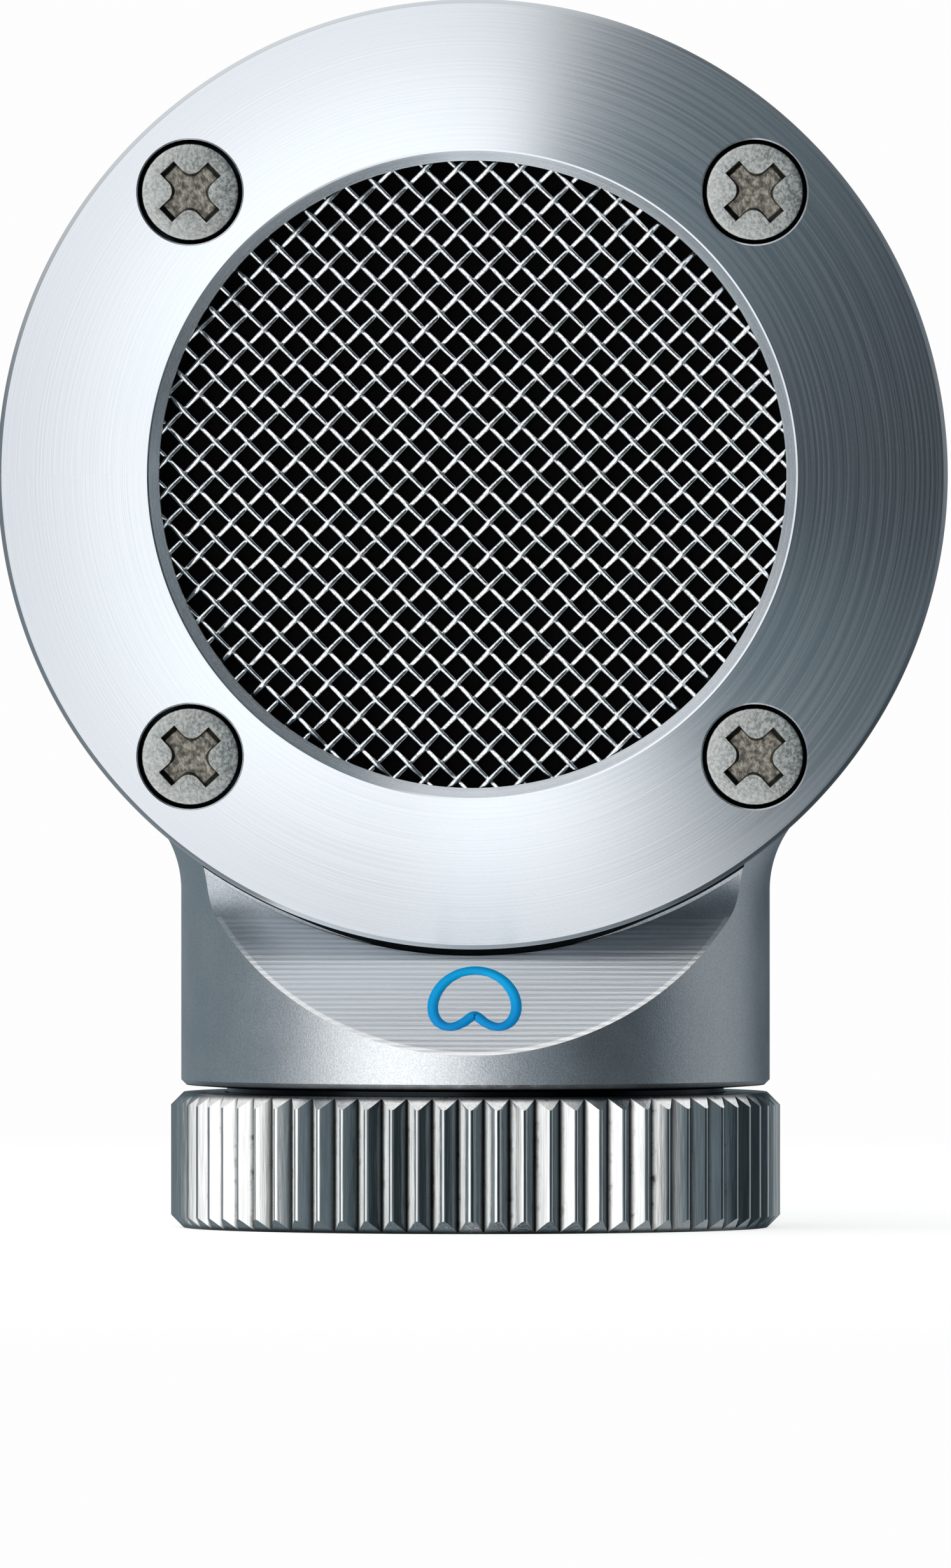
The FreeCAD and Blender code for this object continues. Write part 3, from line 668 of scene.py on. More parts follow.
def housing_shade(position):
    """Where the housing lies in deep shade: round the bezels and under the neck."""
    head = bpy.context.scene.capsule_head
    soft = 0.03 * MM
    wall = head.head_radius + head.pocket_clearance
    height = axes(position)[2]
    # round the disc's upper part the shade is thinner than in the neck's pocket
    reach = smooth_step(height, head.facet_foot + 4.8 * MM, head.facet_foot + 3.4 * MM,
                        head.head_radius + 3 * soft, wall + 0.5 * soft)
    inside = from_axis(position, 0, 2, head.head_centre_z).maths("LESS_THAN", reach)
    in_front = smooth_step(from_middle(position), head.seat_depth - soft,
                           head.seat_depth - 0.5 * soft)
    under = smooth_step(height, head.neck_bottom + 2 * soft, head.neck_bottom)
    return (inside * in_front).maths("MAXIMUM", under)


def blasted_nickel():
    """The disc and the neck: a fine even grain, with painted shade round the bezels and under the
    neck.
    """
    finishes = bpy.context.scene.capsule_finishes
    rough = finishes.blasted_roughness
    material, shader, position = new_material("blasted_nickel", finishes.blasted, 1.0, rough)
    grain = use_group(grain_group, position, Size=0.06 * MM)
    unshaded = mottled(grain["Grain"], finishes.blasted, 0.86, 1.1)
    dress(shader,
          Base_Color=mixed(housing_shade(position), unshaded, finishes.shade),
          Roughness=varied(grain["Clouds"], rough, 0.03),
          Normal=bump(grain["Grain"], 0.006 * MM))
    return material


def milled_nickel():
    """The slanted facet: level lines left by the milling cutter, a painted highlight along its
    edge, and painted shade round the bezels.
    """
    finishes = bpy.context.scene.capsule_finishes
    head = bpy.context.scene.capsule_head
    material, shader, position = new_material(
        "milled_nickel", finishes.blasted, 1.0, 0.36, Anisotropic=0.5)
    streaks = use_group(
        streak_group, position, Stretch=(0.02, 1.0, 1.0), Size=0.12 * MM)["Streaks"]
    grain = use_group(grain_group, position, Size=0.07 * MM)["Grain"]
    line_turn = TURN / (head.mill_pitch * math.sin(head.facet_angle))
    marks = (axes(position)[2] * line_turn).maths("SINE") * 0.22 + streaks
    unshaded = mottled(marks, finishes.blasted, 0.9, 1.14, 0.2, 0.8)
    # painted highlight: a white line along the facet's edge with the neck
    edge = smooth_step(from_axis(position, 0, 1), head.neck_radius - 0.18 * MM,
                       head.neck_radius - 0.12 * MM)
    lit = mixed(edge, unshaded, (1, 1, 1))
    dress(shader,
          Base_Color=mixed(housing_shade(position), lit, finishes.shade),
          Roughness=varied(streaks, 0.36, 0.04),
          Normal=bump(marks + grain * 0.5, 0.008 * MM))
    return material


def polished_nickel():
    """The ring: bright, with faint upright streaks, specks of dirt in the grooves, painted shade
    down the grooves and painted shade on its top face under the neck.
    """
    finishes = bpy.context.scene.capsule_finishes
    ring = bpy.context.scene.capsule_ring
    rough = finishes.polished_roughness
    material, shader, position = new_material("polished_nickel", finishes.polished, 1.0, rough)
    streaks = use_group(
        streak_group, position, Stretch=(1.0, 1.0, 0.04), Size=0.07 * MM)["Streaks"]
    radius = from_axis(position, 0, 1)
    crest = ring.crest_radius
    root = crest - ring.groove_depth
    grime = use_group(
        grime_group, position, Mask=smooth_step(radius, crest - 0.2 * MM, root),
        Clean=(*finishes.polished, 1), Dirt=(*finishes.grime, 1), Patch_Size=0.5 * MM,
        Amount=0.5)
    lit = smooth_step(streaks, 0.3, 0.7, 0.82, 1.05)
    # painted shade: darker down towards the root of each groove
    groove = smooth_step(radius, crest - 0.6 * ring.groove_depth, root, 1.0, 0.12)
    # painted shade on the inner part of the top face, in the gap under the neck
    lip = smooth_step(radius, root - 0.5 * MM, root - 0.3 * MM, 0.06, 1.0)
    top = smooth_step(axes(position)[2], ring.height - 0.06 * MM, ring.height - 0.03 * MM)
    shaded_top = lip * top + (1.0 - top)
    worn = smooth_step(streaks, 0.35, 0.7, rough - 0.03, rough + 0.05)
    dress(shader,
          Base_Color=tinted(grime["Color"], lit * groove * shaded_top),
          Roughness=worn + grime["Dirty"] * 0.35,
          Normal=bump(streaks, 0.003 * MM))
    return material


def spigot_nickel():
    """The spigot: polished, with painted shade where it stands in the gap under the neck."""
    finishes = bpy.context.scene.capsule_finishes
    ring = bpy.context.scene.capsule_ring
    material, shader, position = new_material("spigot_nickel", finishes.polished, 1.0, 0.16)
    grain = use_group(grain_group, position, Size=0.08 * MM)
    # painted shade on the collar in the gap under the neck
    in_gap = smooth_step(axes(position)[2], ring.height - 0.4 * MM, ring.height - 0.1 * MM)
    dress(shader,
          Base_Color=mixed(in_gap, finishes.polished, finishes.shade),
          Roughness=varied(grain["Clouds"], 0.17, 0.05),
          Normal=bump(grain["Grain"], 0.003 * MM))
    return material


def steel_wire():
    """The mesh: bright drawn wire with duller patches."""
    finishes = bpy.context.scene.capsule_finishes
    material, shader, position = new_material("steel_wire", finishes.wire, 1.0, 0.2)
    grain = use_group(grain_group, position, Size=0.09 * MM)
    dress(shader,
          Base_Color=mottled(grain["Grain"], finishes.wire, 0.6, 1.0, 0.35, 0.6),
          Roughness=varied(grain["Clouds"], 0.16, 0.06),
          Normal=bump(grain["Grain"], 0.004 * MM))
    return material


def screw_nickel():
    """The screws: speckled heads, painted shade on the walls of the recess and the head's sides,
    and a dull blotchy floor in the recess.
    """
    finishes = bpy.context.scene.capsule_finishes
    screw = bpy.context.scene.capsule_screws
    face = bpy.context.scene.capsule_head.bezel_front - screw.sunk
    material, shader, position = new_material("screw_nickel", finishes.screw, 1.0, 0.42)
    grain = use_group(grain_group, position, Size=0.1 * MM)["Grain"]
    depth = face - from_middle(position)
    # painted shade: below the head's face the walls of the cross, the head's rounded edge and its
    # sides take the shade colour; the bottom of the cross takes the dull floor colour
    wall = smooth_step(depth, 0.03 * MM, 0.07 * MM)
    bottom = smooth_step(depth, screw.cross_depth - 0.1 * MM, screw.cross_depth - 0.03 * MM)
    head_colour = tinted(finishes.screw, smooth_step(grain, 0.3, 0.7, 0.65, 1.2))
    blotches = noise(position, 1 / (0.22 * MM), 3.0)
    floor_colour = tinted(finishes.dull_floor, smooth_step(blotches, 0.35, 0.65, 0.5, 1.5))
    shaded_walls_and_floor = mixed(bottom, finishes.shade, floor_colour)
    dress(shader,
          Base_Color=mixed(wall, head_colour, shaded_walls_and_floor),
          Roughness=varied(grain, 0.41, 0.09),
          Normal=bump(grain + blotches * (bottom * 4.0), 0.01 * MM))
    return material


def sign_paint():
    """Blue enamel, darker towards the bottom."""
    finishes = bpy.context.scene.capsule_finishes
    foot = bpy.context.scene.capsule_head.facet_foot + 0.6 * MM
    material, shader, position = new_material(
        "sign_paint", finishes.sign_top, 0.0, 0.5, Specular_IOR_Level=0.15)
    up = smooth_step(axes(position)[2], foot, foot + 2.2 * MM)
    grain = use_group(grain_group, position, Size=0.05 * MM)["Grain"]
    dress(shader,
          Base_Color=mixed(up, finishes.sign_bottom, finishes.sign_top),
          Normal=bump(grain, 0.002 * MM))
    return material


def grained(name, colour_value, metallic, roughness, size, depth, contrast, specular):
    """A plain finish with grain in its colour, roughness and surface."""
    material, shader, position = new_material(
        name, colour_value, metallic, roughness, Specular_IOR_Level=specular)
    grain = use_group(grain_group, position, Size=size * MM)
    dress(shader,
          Base_Color=mottled(grain["Grain"], colour_value, 1 - contrast, 1 + contrast),
          Roughness=varied(grain["Clouds"], roughness, 0.05),
          Normal=bump(grain["Grain"], depth * MM))
    return material


# Colour, metallic and roughness; size and depth of the grain in millimetres, its contrast;
# and the specular level
PLAIN_FINISHES = {
    "black_gauze": ((0.002, 0.002, 0.002), 0.0, 0.95, 0.05, 0.01, 0.5, 0.05),
    "black_rubber": ((0.02, 0.02, 0.02), 0.0, 0.6, 0.1, 0.01, 0.2, 0.5),
    "cartridge_brass": ((0.78, 0.62, 0.34), 1.0, 0.35, 0.1, 0.006, 0.2, 0.5),
    "gold_film": ((0.85, 0.65, 0.28), 1.0, 0.2, 0.4, 0.004, 0.2, 0.5),
    "white_insulator": ((0.8, 0.8, 0.77), 0.0, 0.5, 0.12, 0.006, 0.06, 0.5),
    "damping_cloth": ((0.3, 0.3, 0.31), 0.0, 0.9, 0.08, 0.03, 0.4, 0.5),
    "contact_gold": ((0.9, 0.7, 0.3), 1.0, 0.22, 0.08, 0.004, 0.08, 0.5),
    "wire_insulation": ((0.6, 0.06, 0.05), 0.0, 0.35, 0.1, 0.004, 0.1, 0.5),
}
SHAPED_FINISHES = (turned_nickel, blasted_nickel, milled_nickel, polished_nickel, spigot_nickel,
                   steel_wire, screw_nickel, sign_paint)


def finish_named(name):
    """A material by its name, built at its first use."""
    found = bpy.data.materials.get(FINISH_PREFIX + name)
    if found is not None:
        return found
    if name in PLAIN_FINISHES:
        return grained(name, *PLAIN_FINISHES[name])
    makers = {make.__name__: make for make in SHAPED_FINISHES}
    return makers[name]()


# Housing

def arc_points(centre, radius, start_turn, end_turn, steps):
    """(first, second) pairs along an arc in a plane."""
    turns = [start_turn + (end_turn - start_turn) * i / steps for i in range(steps + 1)]
    return [(centre[0] + radius * math.cos(t), centre[1] + radius * math.sin(t)) for t in turns]


def neck_profile(head, spigot_radius):
    """Section of the neck from the axis down and out and up the flare to the disc's rim."""
    flare_x = head.neck_radius + head.flare_radius
    reach = head.disc_radius + head.flare_radius
    flare_z = head.head_centre_z - math.sqrt(reach**2 - flare_x**2)
    to_head = math.atan2(head.head_centre_z - flare_z, -flare_x)
    flare = arc_points((flare_x, flare_z), head.flare_radius, math.pi, to_head, 24)
    underside = head.neck_bottom - UNDERSIDE_DROP
    return [
        (0, flare[-1][1]),
        (0, underside),
        (spigot_radius, underside),
        (head.neck_radius - head.neck_chamfer, head.neck_bottom),
        (head.neck_radius, head.neck_bottom + head.neck_chamfer),
    ] + flare


def facet_cutter(head):
    """What is milled away in front of the facet and of the disc's seat."""
    slope = head.facet_angle
    seat_y = -head.seat_depth
    corner_z = head.facet_foot + (head.neck_radius + seat_y) * math.tan(slope)
    tangent = head.facet_fillet * math.tan((math.pi / 2 - slope) / 2)
    centre = (seat_y - head.facet_fillet, corner_z + tangent)
    fillet = arc_points(centre, head.facet_fillet, slope - math.pi / 2, 0, 16)
    outside_y = -head.neck_radius - head.flare_radius
    start_z = corner_z - (seat_y - outside_y) * math.tan(slope)
    top = head.head_centre_z + head.head_radius
    outline = [(outside_y, start_z)] + fillet + [(seat_y, top), (outside_y, top)]
    half_width = head.neck_radius + head.flare_radius
    points = [Vector((0, y, z)) for y, z in outline]
    return prism("facet_cutter", points, Vector((-half_width, 0, 0)),
                 Vector((2 * half_width, 0, 0)))


def housing_mesh():
    scene = bpy.context.scene
    head = scene.capsule_head
    ring = scene.capsule_ring
    seat = head.seat_depth
    outside = head.neck_radius + head.flare_radius
    neck = turned("head_housing", neck_profile(head, ring.collar_radius), about_neck, LARGE_STEPS)
    pocket_radius = head.head_radius + head.pocket_clearance
    pocket = turned("pocket", [(0, -outside), (pocket_radius, -outside), (pocket_radius, -seat),
                               (0, -seat)], about_head, LARGE_STEPS)
    disc = turned("disc", [(0, -seat), (head.disc_radius, -seat), (head.disc_radius, seat),
                           (0, seat)], about_head, LARGE_STEPS)
    bore = head.cavity_radius
    cavity = turned("cavity", [(0, -2 * seat), (bore, -2 * seat), (bore, 2 * seat),
                               (0, 2 * seat)], about_head)
    underside = head.neck_bottom - UNDERSIDE_DROP
    socket_top = SPIGOT_HIGH.z + 0.1 * MM
    socket_radius = ring.screw_radius + 0.02 * MM
    chamber_top = socket_top + 1.6 * MM
    below = underside - TOOL_REACH
    socket = turned("socket", [(0, below), (socket_radius, below),
                               (socket_radius, socket_top), (ring.bore_radius, socket_top),
                               (ring.bore_radius, chamber_top), (0, chamber_top)], about_neck)
    facet = facet_cutter(head)
    return combined(neck, [
        ("DIFFERENCE", facet),
        ("DIFFERENCE", mirrored(facet)),
        ("DIFFERENCE", pocket),
        ("DIFFERENCE", mirrored(pocket)),
        ("UNION", disc),
        ("DIFFERENCE", cavity),
        ("DIFFERENCE", socket),
    ])


def mark_facets(mesh, slope):
    """Gives the faces of both slanted facets the second material."""
    for face in mesh.polygons:
        facing = Vector((0, abs(face.normal.y), face.normal.z))
        steep = facing.dot(Vector((0, math.sin(slope), math.cos(slope))))
        if steep > 0.9999 and abs(face.normal.x) < 0.01:
            face.material_index = 1


# Bezels and screws

def screw_places(screws):
    """(x, z) of each screw from the head's axis."""
    turns = [screws.first_angle + TURN * i / screws.number for i in range(screws.number)]
    return [(screws.circle_radius * math.cos(t), screws.circle_radius * math.sin(t))
            for t in turns]


def bezel_mesh():
    scene = bpy.context.scene
    head = scene.capsule_head
    screws = scene.capsule_screws
    front = -head.bezel_front
    seat = -head.seat_depth
    shelf = GRILLE_LOW.y
    chamfer = head.edge_chamfer
    bore = head.aperture_radius
    soft = 0.03 * MM
    profile = [
        (bore, shelf),
        (bore, front + head.aperture_chamfer),
        (bore + head.aperture_chamfer - soft, front + soft),
        (bore + head.aperture_chamfer + soft, front),
        (head.head_radius - chamfer, front),
        (head.head_radius, front + chamfer),
        (head.head_radius, seat),
        (head.rebate_radius, seat),
        (head.rebate_radius, shelf),
    ]
    base = turned("front_bezel", profile, about_head, LARGE_STEPS)
    hole = screws.head_radius + screws.clearance
    floor = front + screws.head_height + screws.sunk
    shank = screws.shank_radius + 0.1 * MM
    edge = screws.hole_chamfer
    above = front - TOOL_REACH
    section = [(0, above), (hole + edge + TOOL_REACH, above), (hole + edge, front),
               (hole, front + edge), (hole, floor), (shank, floor),
               (shank, seat + TOOL_REACH), (0, seat + TOOL_REACH)]
    steps = []
    for x, z in screw_places(screws):
        tool = turned("counterbore", section, about_y, SMALL_STEPS)
        tool.transform(Matrix.Translation((x, 0, head.head_centre_z + z)))
        steps.append(("DIFFERENCE", tool))
    return combined(base, steps)


def screw_mesh():
    """One screw with its head's face at depth 0, pointing along +Y, on the Y axis."""
    screws = bpy.context.scene.capsule_screws
    head = screws.head_radius
    chamfer = screws.head_chamfer
    height = screws.head_height
    profile = [
        (0, 0),
        (head - 1.6 * chamfer, 0),
        (head - 0.5 * chamfer, 0.35 * chamfer),
        (head, chamfer),
        (head, height),
        (screws.shank_radius, height),
        (screws.shank_radius, height + screws.shank_length),
        (0, height + screws.shank_length),
    ]
    base = turned("screw", profile, about_y, SMALL_STEPS)
    depth = screws.cross_depth
    above = 0.2 * MM
    grown = 1 + (1 - screws.cross_taper) * above / depth
    outline = [grown * point for point in cross_outline(screws)]
    recess = prism("recess", outline, Vector((0, -above, 0)), Vector((0, above + depth, 0)),
                   screws.cross_taper / grown)
    return combined(base, [("DIFFERENCE", recess)], SCREW_SHARP_DEGREES)


def cross_outline(screws):
    """A cross of four wings on the diagonals, with rounded corners between them."""
    half_span = screws.cross_span / 2
    half_width = screws.cross_width / 2
    corner = screws.cross_corner
    middle = half_width + corner
    points = []
    for wing in range(4):
        turn = math.pi / 4 + wing * math.pi / 2
        side = [(half_span, -half_width), (half_span, half_width)]
        side += arc_points((middle, middle), corner, -math.pi / 2, -math.pi, 8)
        for x, z in side:
            points.append(Vector((x * math.cos(turn) - z * math.sin(turn), 0,
                                  x * math.sin(turn) + z * math.cos(turn))))
    return points


def screws_tree():
    """Puts one screw on each place of a circle, each with its own small turn."""
    tree, entry, leave = new_tree(
        "GeometryNodeTree", "Screws on a circle",
        [("Screw", OBJECT, None), ("Number", INTEGER, 4), ("Circle Radius", FLOAT, 0.01),
         ("First Angle", FLOAT, 0.0), ("Centre Height", FLOAT, 0.0), ("Face Depth", FLOAT, 0.0),
         ("Spread", FLOAT, 0.0), ("Seed", INTEGER, 3), ("Material", MATERIAL, None)],
        [("Geometry", GEOMETRY)])
    circle = add(tree, "GeometryNodeMeshCircle", {
        "Vertices": entry["Number"], "Radius": entry["Circle Radius"]})
    screw = add(tree, "GeometryNodeObjectInfo", {"Object": entry["Screw"]}, "Geometry")
    spread = entry["Spread"]
    stray = add(tree, "FunctionNodeRandomValue", {
        2: spread * -1.0, 3: spread, "Seed": entry["Seed"]}, 1, data_type="FLOAT")
    upright = add(tree, "GeometryNodeTransform", {
        "Geometry": circle,
        "Rotation": vector(tree, math.pi / 2, entry["First Angle"] * -1.0),
        "Translation": vector(tree, 0.0, entry["Face Depth"], entry["Centre Height"])})
    placed = add(tree, "GeometryNodeInstanceOnPoints", {
        "Points": upright, "Instance": screw, "Rotation": vector(tree, y=stray)})
    finish_tree(placed, entry["Material"], leave)
    return tree


# Woven mesh

def wire_family(tree, entry, direction):
    """Parallel crimped wires over the whole disc, slanted to one side."""
    pitch = entry["Pitch"]
    reach = entry["Radius"]
    half_count = (reach / pitch).maths("FLOOR")
    places = add(tree, "GeometryNodeMeshLine", {
        "Count": half_count * 2.0 + 1.0,
        "Start Location": vector(tree, half_count * pitch * -1.0),
        "Offset": vector(tree, pitch)}, mode="OFFSET")
    line = add(tree, "GeometryNodeCurvePrimitiveLine", {
        "Start": vector(tree, z=reach * -1.0), "End": vector(tree, z=reach)})
    stepped = add(tree, "GeometryNodeResampleCurve", {
        "Curve": line, "Length": pitch / STEPS_PER_PITCH}, mode="LENGTH")
    laid = add(tree, "GeometryNodeInstanceOnPoints", {"Points": places, "Instance": stepped})
    wires = add(tree, "GeometryNodeRealizeInstances", {"Geometry": laid})
    position = add(tree, "GeometryNodeInputPosition")
    parts = axes(position)
    index = (parts[0] / pitch).maths("ROUND")
    crimp = ((parts[2] / pitch + index) * math.pi).maths("COSINE")
    rise = crimp * (entry["Wire Diameter"] * (0.5 * direction))
    stray = vector_maths("SUBTRACT", noise(
        position, entry["Wobble Scale"], 1.0, output="Color"), (0.5, 0.5, 0.5))
    sideways = axes(stray)[0] * entry["Wobble"]
    crimped = add(tree, "GeometryNodeSetPosition", {
        "Geometry": wires, "Offset": vector(tree, sideways, rise)})
    slanted = add(tree, "GeometryNodeTransform", {
        "Geometry": crimped, "Rotation": vector(tree, y=entry["Slant"] * float(direction))})
    away = from_axis(add(tree, "GeometryNodeInputPosition"), 0, 2)
    outside = add(tree, "FunctionNodeCompare", {0: away, 1: reach - entry["Wire Diameter"]},
                  data_type="FLOAT", operation="GREATER_THAN")
    return add(tree, "GeometryNodeDeleteGeometry", {"Geometry": slanted, "Selection": outside},
               domain="POINT")


def woven_tree():
    """Plain woven wire: two crossed families, each wire over and under the others in turn."""
    tree, entry, leave = new_tree(
        "GeometryNodeTree", "Woven wire",
        [("Radius", FLOAT, 0.01), ("Pitch", FLOAT, 0.001), ("Wire Diameter", FLOAT, 0.0002),
         ("Slant", FLOAT, 0.7), ("Wobble", FLOAT, 0.0), ("Wobble Scale", FLOAT, 400.0),
         ("Sides", INTEGER, 8), ("Middle Depth", FLOAT, 0.0), ("Centre Height", FLOAT, 0.0),
         ("Material", MATERIAL, None)],
        [("Geometry", GEOMETRY)])
    both = tree.nodes.new("GeometryNodeJoinGeometry")
    for direction in (1, -1):
        feed(both.inputs[0], wire_family(tree, entry, direction))
    section = add(tree, "GeometryNodeCurvePrimitiveCircle", {
        "Resolution": entry["Sides"], "Radius": entry["Wire Diameter"] * 0.5})
    wires = add(tree, "GeometryNodeCurveToMesh", {
        "Curve": Output(both.outputs[0]), "Profile Curve": section, "Fill Caps": True})
    moved = add(tree, "GeometryNodeTransform", {
        "Geometry": wires,
        "Translation": vector(tree, 0.0, entry["Middle Depth"], entry["Centre Height"])})
    smooth = add(tree, "GeometryNodeSetShadeSmooth", {"Geometry": moved})
    finish_tree(smooth, entry["Material"], leave)
    return tree


# Coupling ring

def knurl_tree():
    """Cuts the knurl into a ring whose rim has five points to each groove.

    Four points make the crest, its flat and the bevel on either side; the fifth is the root.
    """
    tree, entry, leave = new_tree(
        "GeometryNodeTree", "Straight knurl",
        [("Blank", OBJECT, None), ("Crest Radius", FLOAT, 0.01), ("Height", FLOAT, 0.005),
         ("Grooves", INTEGER, 72), ("Groove Depth", FLOAT, 0.0004), ("Land", FLOAT, 0.0001),
         ("Bevel", FLOAT, 0.00004), ("Material", MATERIAL, None)],
        [("Geometry", GEOMETRY)])
    blank = add(tree, "GeometryNodeObjectInfo", {"Object": entry["Blank"]}, "Geometry")
    position = add(tree, "GeometryNodeInputPosition")
    parts = axes(position)
    radius = from_axis(position, 0, 1)
    groove_turn = TURN / entry["Grooves"]
    turn = parts[1].maths("ARCTAN2", parts[0])
    station = (turn / groove_turn * KNURL_POINTS).maths("ROUND")
    number = station.maths("FLOORED_MODULO", KNURL_POINTS)
    at_root = number.maths("COMPARE", KNURL_POINTS - 1, 0.1)
    from_crest = number - (KNURL_POINTS - 2) / 2
    outer = from_crest.maths("ABSOLUTE").maths("GREATER_THAN", 1.0)
    at_bevel = outer * (1.0 - at_root)
    bevel = entry["Bevel"]
    reach = entry["Land"] * 0.5 - bevel + at_bevel * (bevel * 2.0)
    crest_shift = from_crest.maths("SIGN") * (reach / entry["Crest Radius"])
    crest_turn = ((station + 0.5) / KNURL_POINTS).maths("FLOOR") * groove_turn
    new_turn = crest_turn + add(tree, "ShaderNodeMix", {
        0: at_root, 2: crest_shift, 3: groove_turn * 0.5}, data_type="FLOAT")
    cut = entry["Groove Depth"] * at_root + bevel * at_bevel
    new_radius = radius.maths("MINIMUM", entry["Crest Radius"] - cut)
    # a point that moves inwards also moves towards its end, as on a chamfered rim
    end = (parts[2] - entry["Height"] * 0.5).maths("SIGN")
    new_position = vector(
        tree, new_radius * new_turn.maths("COSINE"), new_radius * new_turn.maths("SINE"),
        parts[2] + end * (radius - new_radius))
    knurled = add(tree, "GeometryNodeSetPosition", {"Geometry": blank, "Position": new_position})
    finish_tree(knurled, entry["Material"], leave)
    return tree


def ring_blank():
    """The ring before its knurl, with its lip, relief and thread."""
    ring = bpy.context.scene.capsule_ring
    lip_bottom = ring.height - ring.lip_thickness
    thread_top = SPIGOT_LOW.z - 0.1 * MM
    relief = ring.thread_radius + 0.25 * MM
    crest = ring.crest_radius
    chamfer = ring.chamfer
    profile = [
        (ring.lip_bore, lip_bottom),
        (ring.lip_bore, ring.height - 0.05 * MM),
        (ring.lip_bore + 0.05 * MM, ring.height),
        (crest - chamfer, ring.height),
        (crest, ring.height - chamfer),
        (crest, chamfer),
        (crest - chamfer, 0),
        (ring.thread_radius + ring.thread_mouth, 0),
        (ring.thread_radius, ring.thread_mouth),
        (ring.thread_radius, thread_top),
        (relief, thread_top),
        (relief, lip_bottom),
    ]
    return turned("ring_blank", profile, about_neck, KNURL_POINTS * ring.grooves)


# Sign

def sign_tree():
    """The heart-shaped pick-up pattern as a flat line, standing on the XZ plane."""
    tree, entry, leave = new_tree(
        "GeometryNodeTree", "Pick-up pattern",
        [("Width", FLOAT, 0.003), ("Height", FLOAT, 0.003), ("Stroke", FLOAT, 0.0003),
         ("Thickness", FLOAT, 0.00002), ("Notch", FLOAT, 0.66), ("Shoulder", FLOAT, 0.35),
         ("Points", INTEGER, 160), ("Material", MATERIAL, None)],
        [("Geometry", GEOMETRY)])
    circle = add(tree, "GeometryNodeCurvePrimitiveCircle", {
        "Resolution": entry["Points"], "Radius": 1.0})
    turn = add(tree, "GeometryNodeInputIndex") / entry["Points"] * TURN
    twice = turn * 2.0
    across = turn.maths("SINE") + twice.maths("SINE") * entry["Shoulder"]
    up = turn.maths("COSINE") + twice.maths("COSINE") * entry["Notch"]
    shape = add(tree, "GeometryNodeSetPosition", {
        "Geometry": circle, "Position": vector(tree, across, up)})
    box = new_node(tree, "GeometryNodeBoundBox", {"Geometry": shape}).outputs
    low = axes(Output(box["Min"]))
    high = axes(Output(box["Max"]))
    stroke = entry["Stroke"]
    scale_x = (entry["Width"] - stroke) / (high[0] - low[0])
    scale_y = (entry["Height"] - stroke) / (high[1] - low[1])
    from_foot = vector_maths("SUBTRACT", add(tree, "GeometryNodeInputPosition"),
                             vector(tree, y=low[1]))
    fitted = add(tree, "GeometryNodeSetPosition", {
        "Geometry": shape,
        "Position": vector_maths("MULTIPLY", from_foot, vector(tree, scale_x, scale_y))})
    flat = add(tree, "GeometryNodeSetCurveNormal", {"Curve": fitted}, mode="Z_UP")
    section = add(tree, "GeometryNodeCurvePrimitiveQuadrilateral", {
        "Width": stroke, "Height": entry["Thickness"]})
    line = add(tree, "GeometryNodeCurveToMesh", {"Curve": flat, "Profile Curve": section})
    upright = add(tree, "GeometryNodeTransform", {
        "Geometry": line, "Rotation": (math.pi / 2, 0, 0)})
    finish_tree(upright, entry["Material"], leave)
    return tree


# Operators

class CAPSULE_OT_housing(bpy.types.Operator):
    """Build the disc and the faceted neck"""

    bl_idname = "capsule.housing"
    bl_label = "Housing"

    def execute(self, context):
        mesh = housing_mesh()
        place("housing", mesh, "head_housing", "blasted_nickel", "head",
              finish_named("blasted_nickel"), finish_named("milled_nickel"))
        mark_facets(mesh, context.scene.capsule_head.facet_angle)
        return {"FINISHED"}


class CAPSULE_OT_bezels(bpy.types.Operator):
    """Build the front and rear bezels"""

    bl_idname = "capsule.bezels"
    bl_label = "Bezels"

    def execute(self, context):
        place_on_both_sides("bezel_ring", bezel_mesh(), "bezel", "turned_nickel",
                            finish_named("turned_nickel"))
        return {"FINISHED"}


class CAPSULE_OT_screws(bpy.types.Operator):
    """Put the four screws in each bezel"""

    bl_idname = "capsule.screws"
    bl_label = "Bezel screws"

    def execute(self, context):
        screws = context.scene.capsule_screws
        head = context.scene.capsule_head
        material = finish_named("screw_nickel")
        screw = as_object("one_screw", screw_mesh())
        front = mesh_from_tree(screws_tree(), {
            "Screw": screw, "Number": screws.number, "Circle Radius": screws.circle_radius,
            "First Angle": screws.first_angle, "Centre Height": head.head_centre_z,
            "Face Depth": screws.sunk - head.bezel_front, "Spread": screws.spread,
            "Material": material})
        bpy.data.objects.remove(screw)
        place_on_both_sides("screws", front, "bezel_screws", "screw_nickel", material)
        return {"FINISHED"}


class CAPSULE_OT_grilles(bpy.types.Operator):
    """Weave the wire mesh behind each bezel"""

    bl_idname = "capsule.grilles"
    bl_label = "Wire mesh"

    def execute(self, context):
        sizes = context.scene.capsule_mesh
        head = context.scene.capsule_head
        material = finish_named("steel_wire")
        front = mesh_from_tree(woven_tree(), {
            "Radius": sizes.radius, "Pitch": sizes.pitch, "Wire Diameter": sizes.wire_diameter,
            "Slant": sizes.slant, "Wobble": sizes.wobble, "Centre Height": head.head_centre_z,
            "Middle Depth": (GRILLE_LOW.y + GRILLE_HIGH.y) / 2, "Material": material})
        place_on_both_sides("woven_mesh", front, "grille", "steel_wire", material)
        return {"FINISHED"}


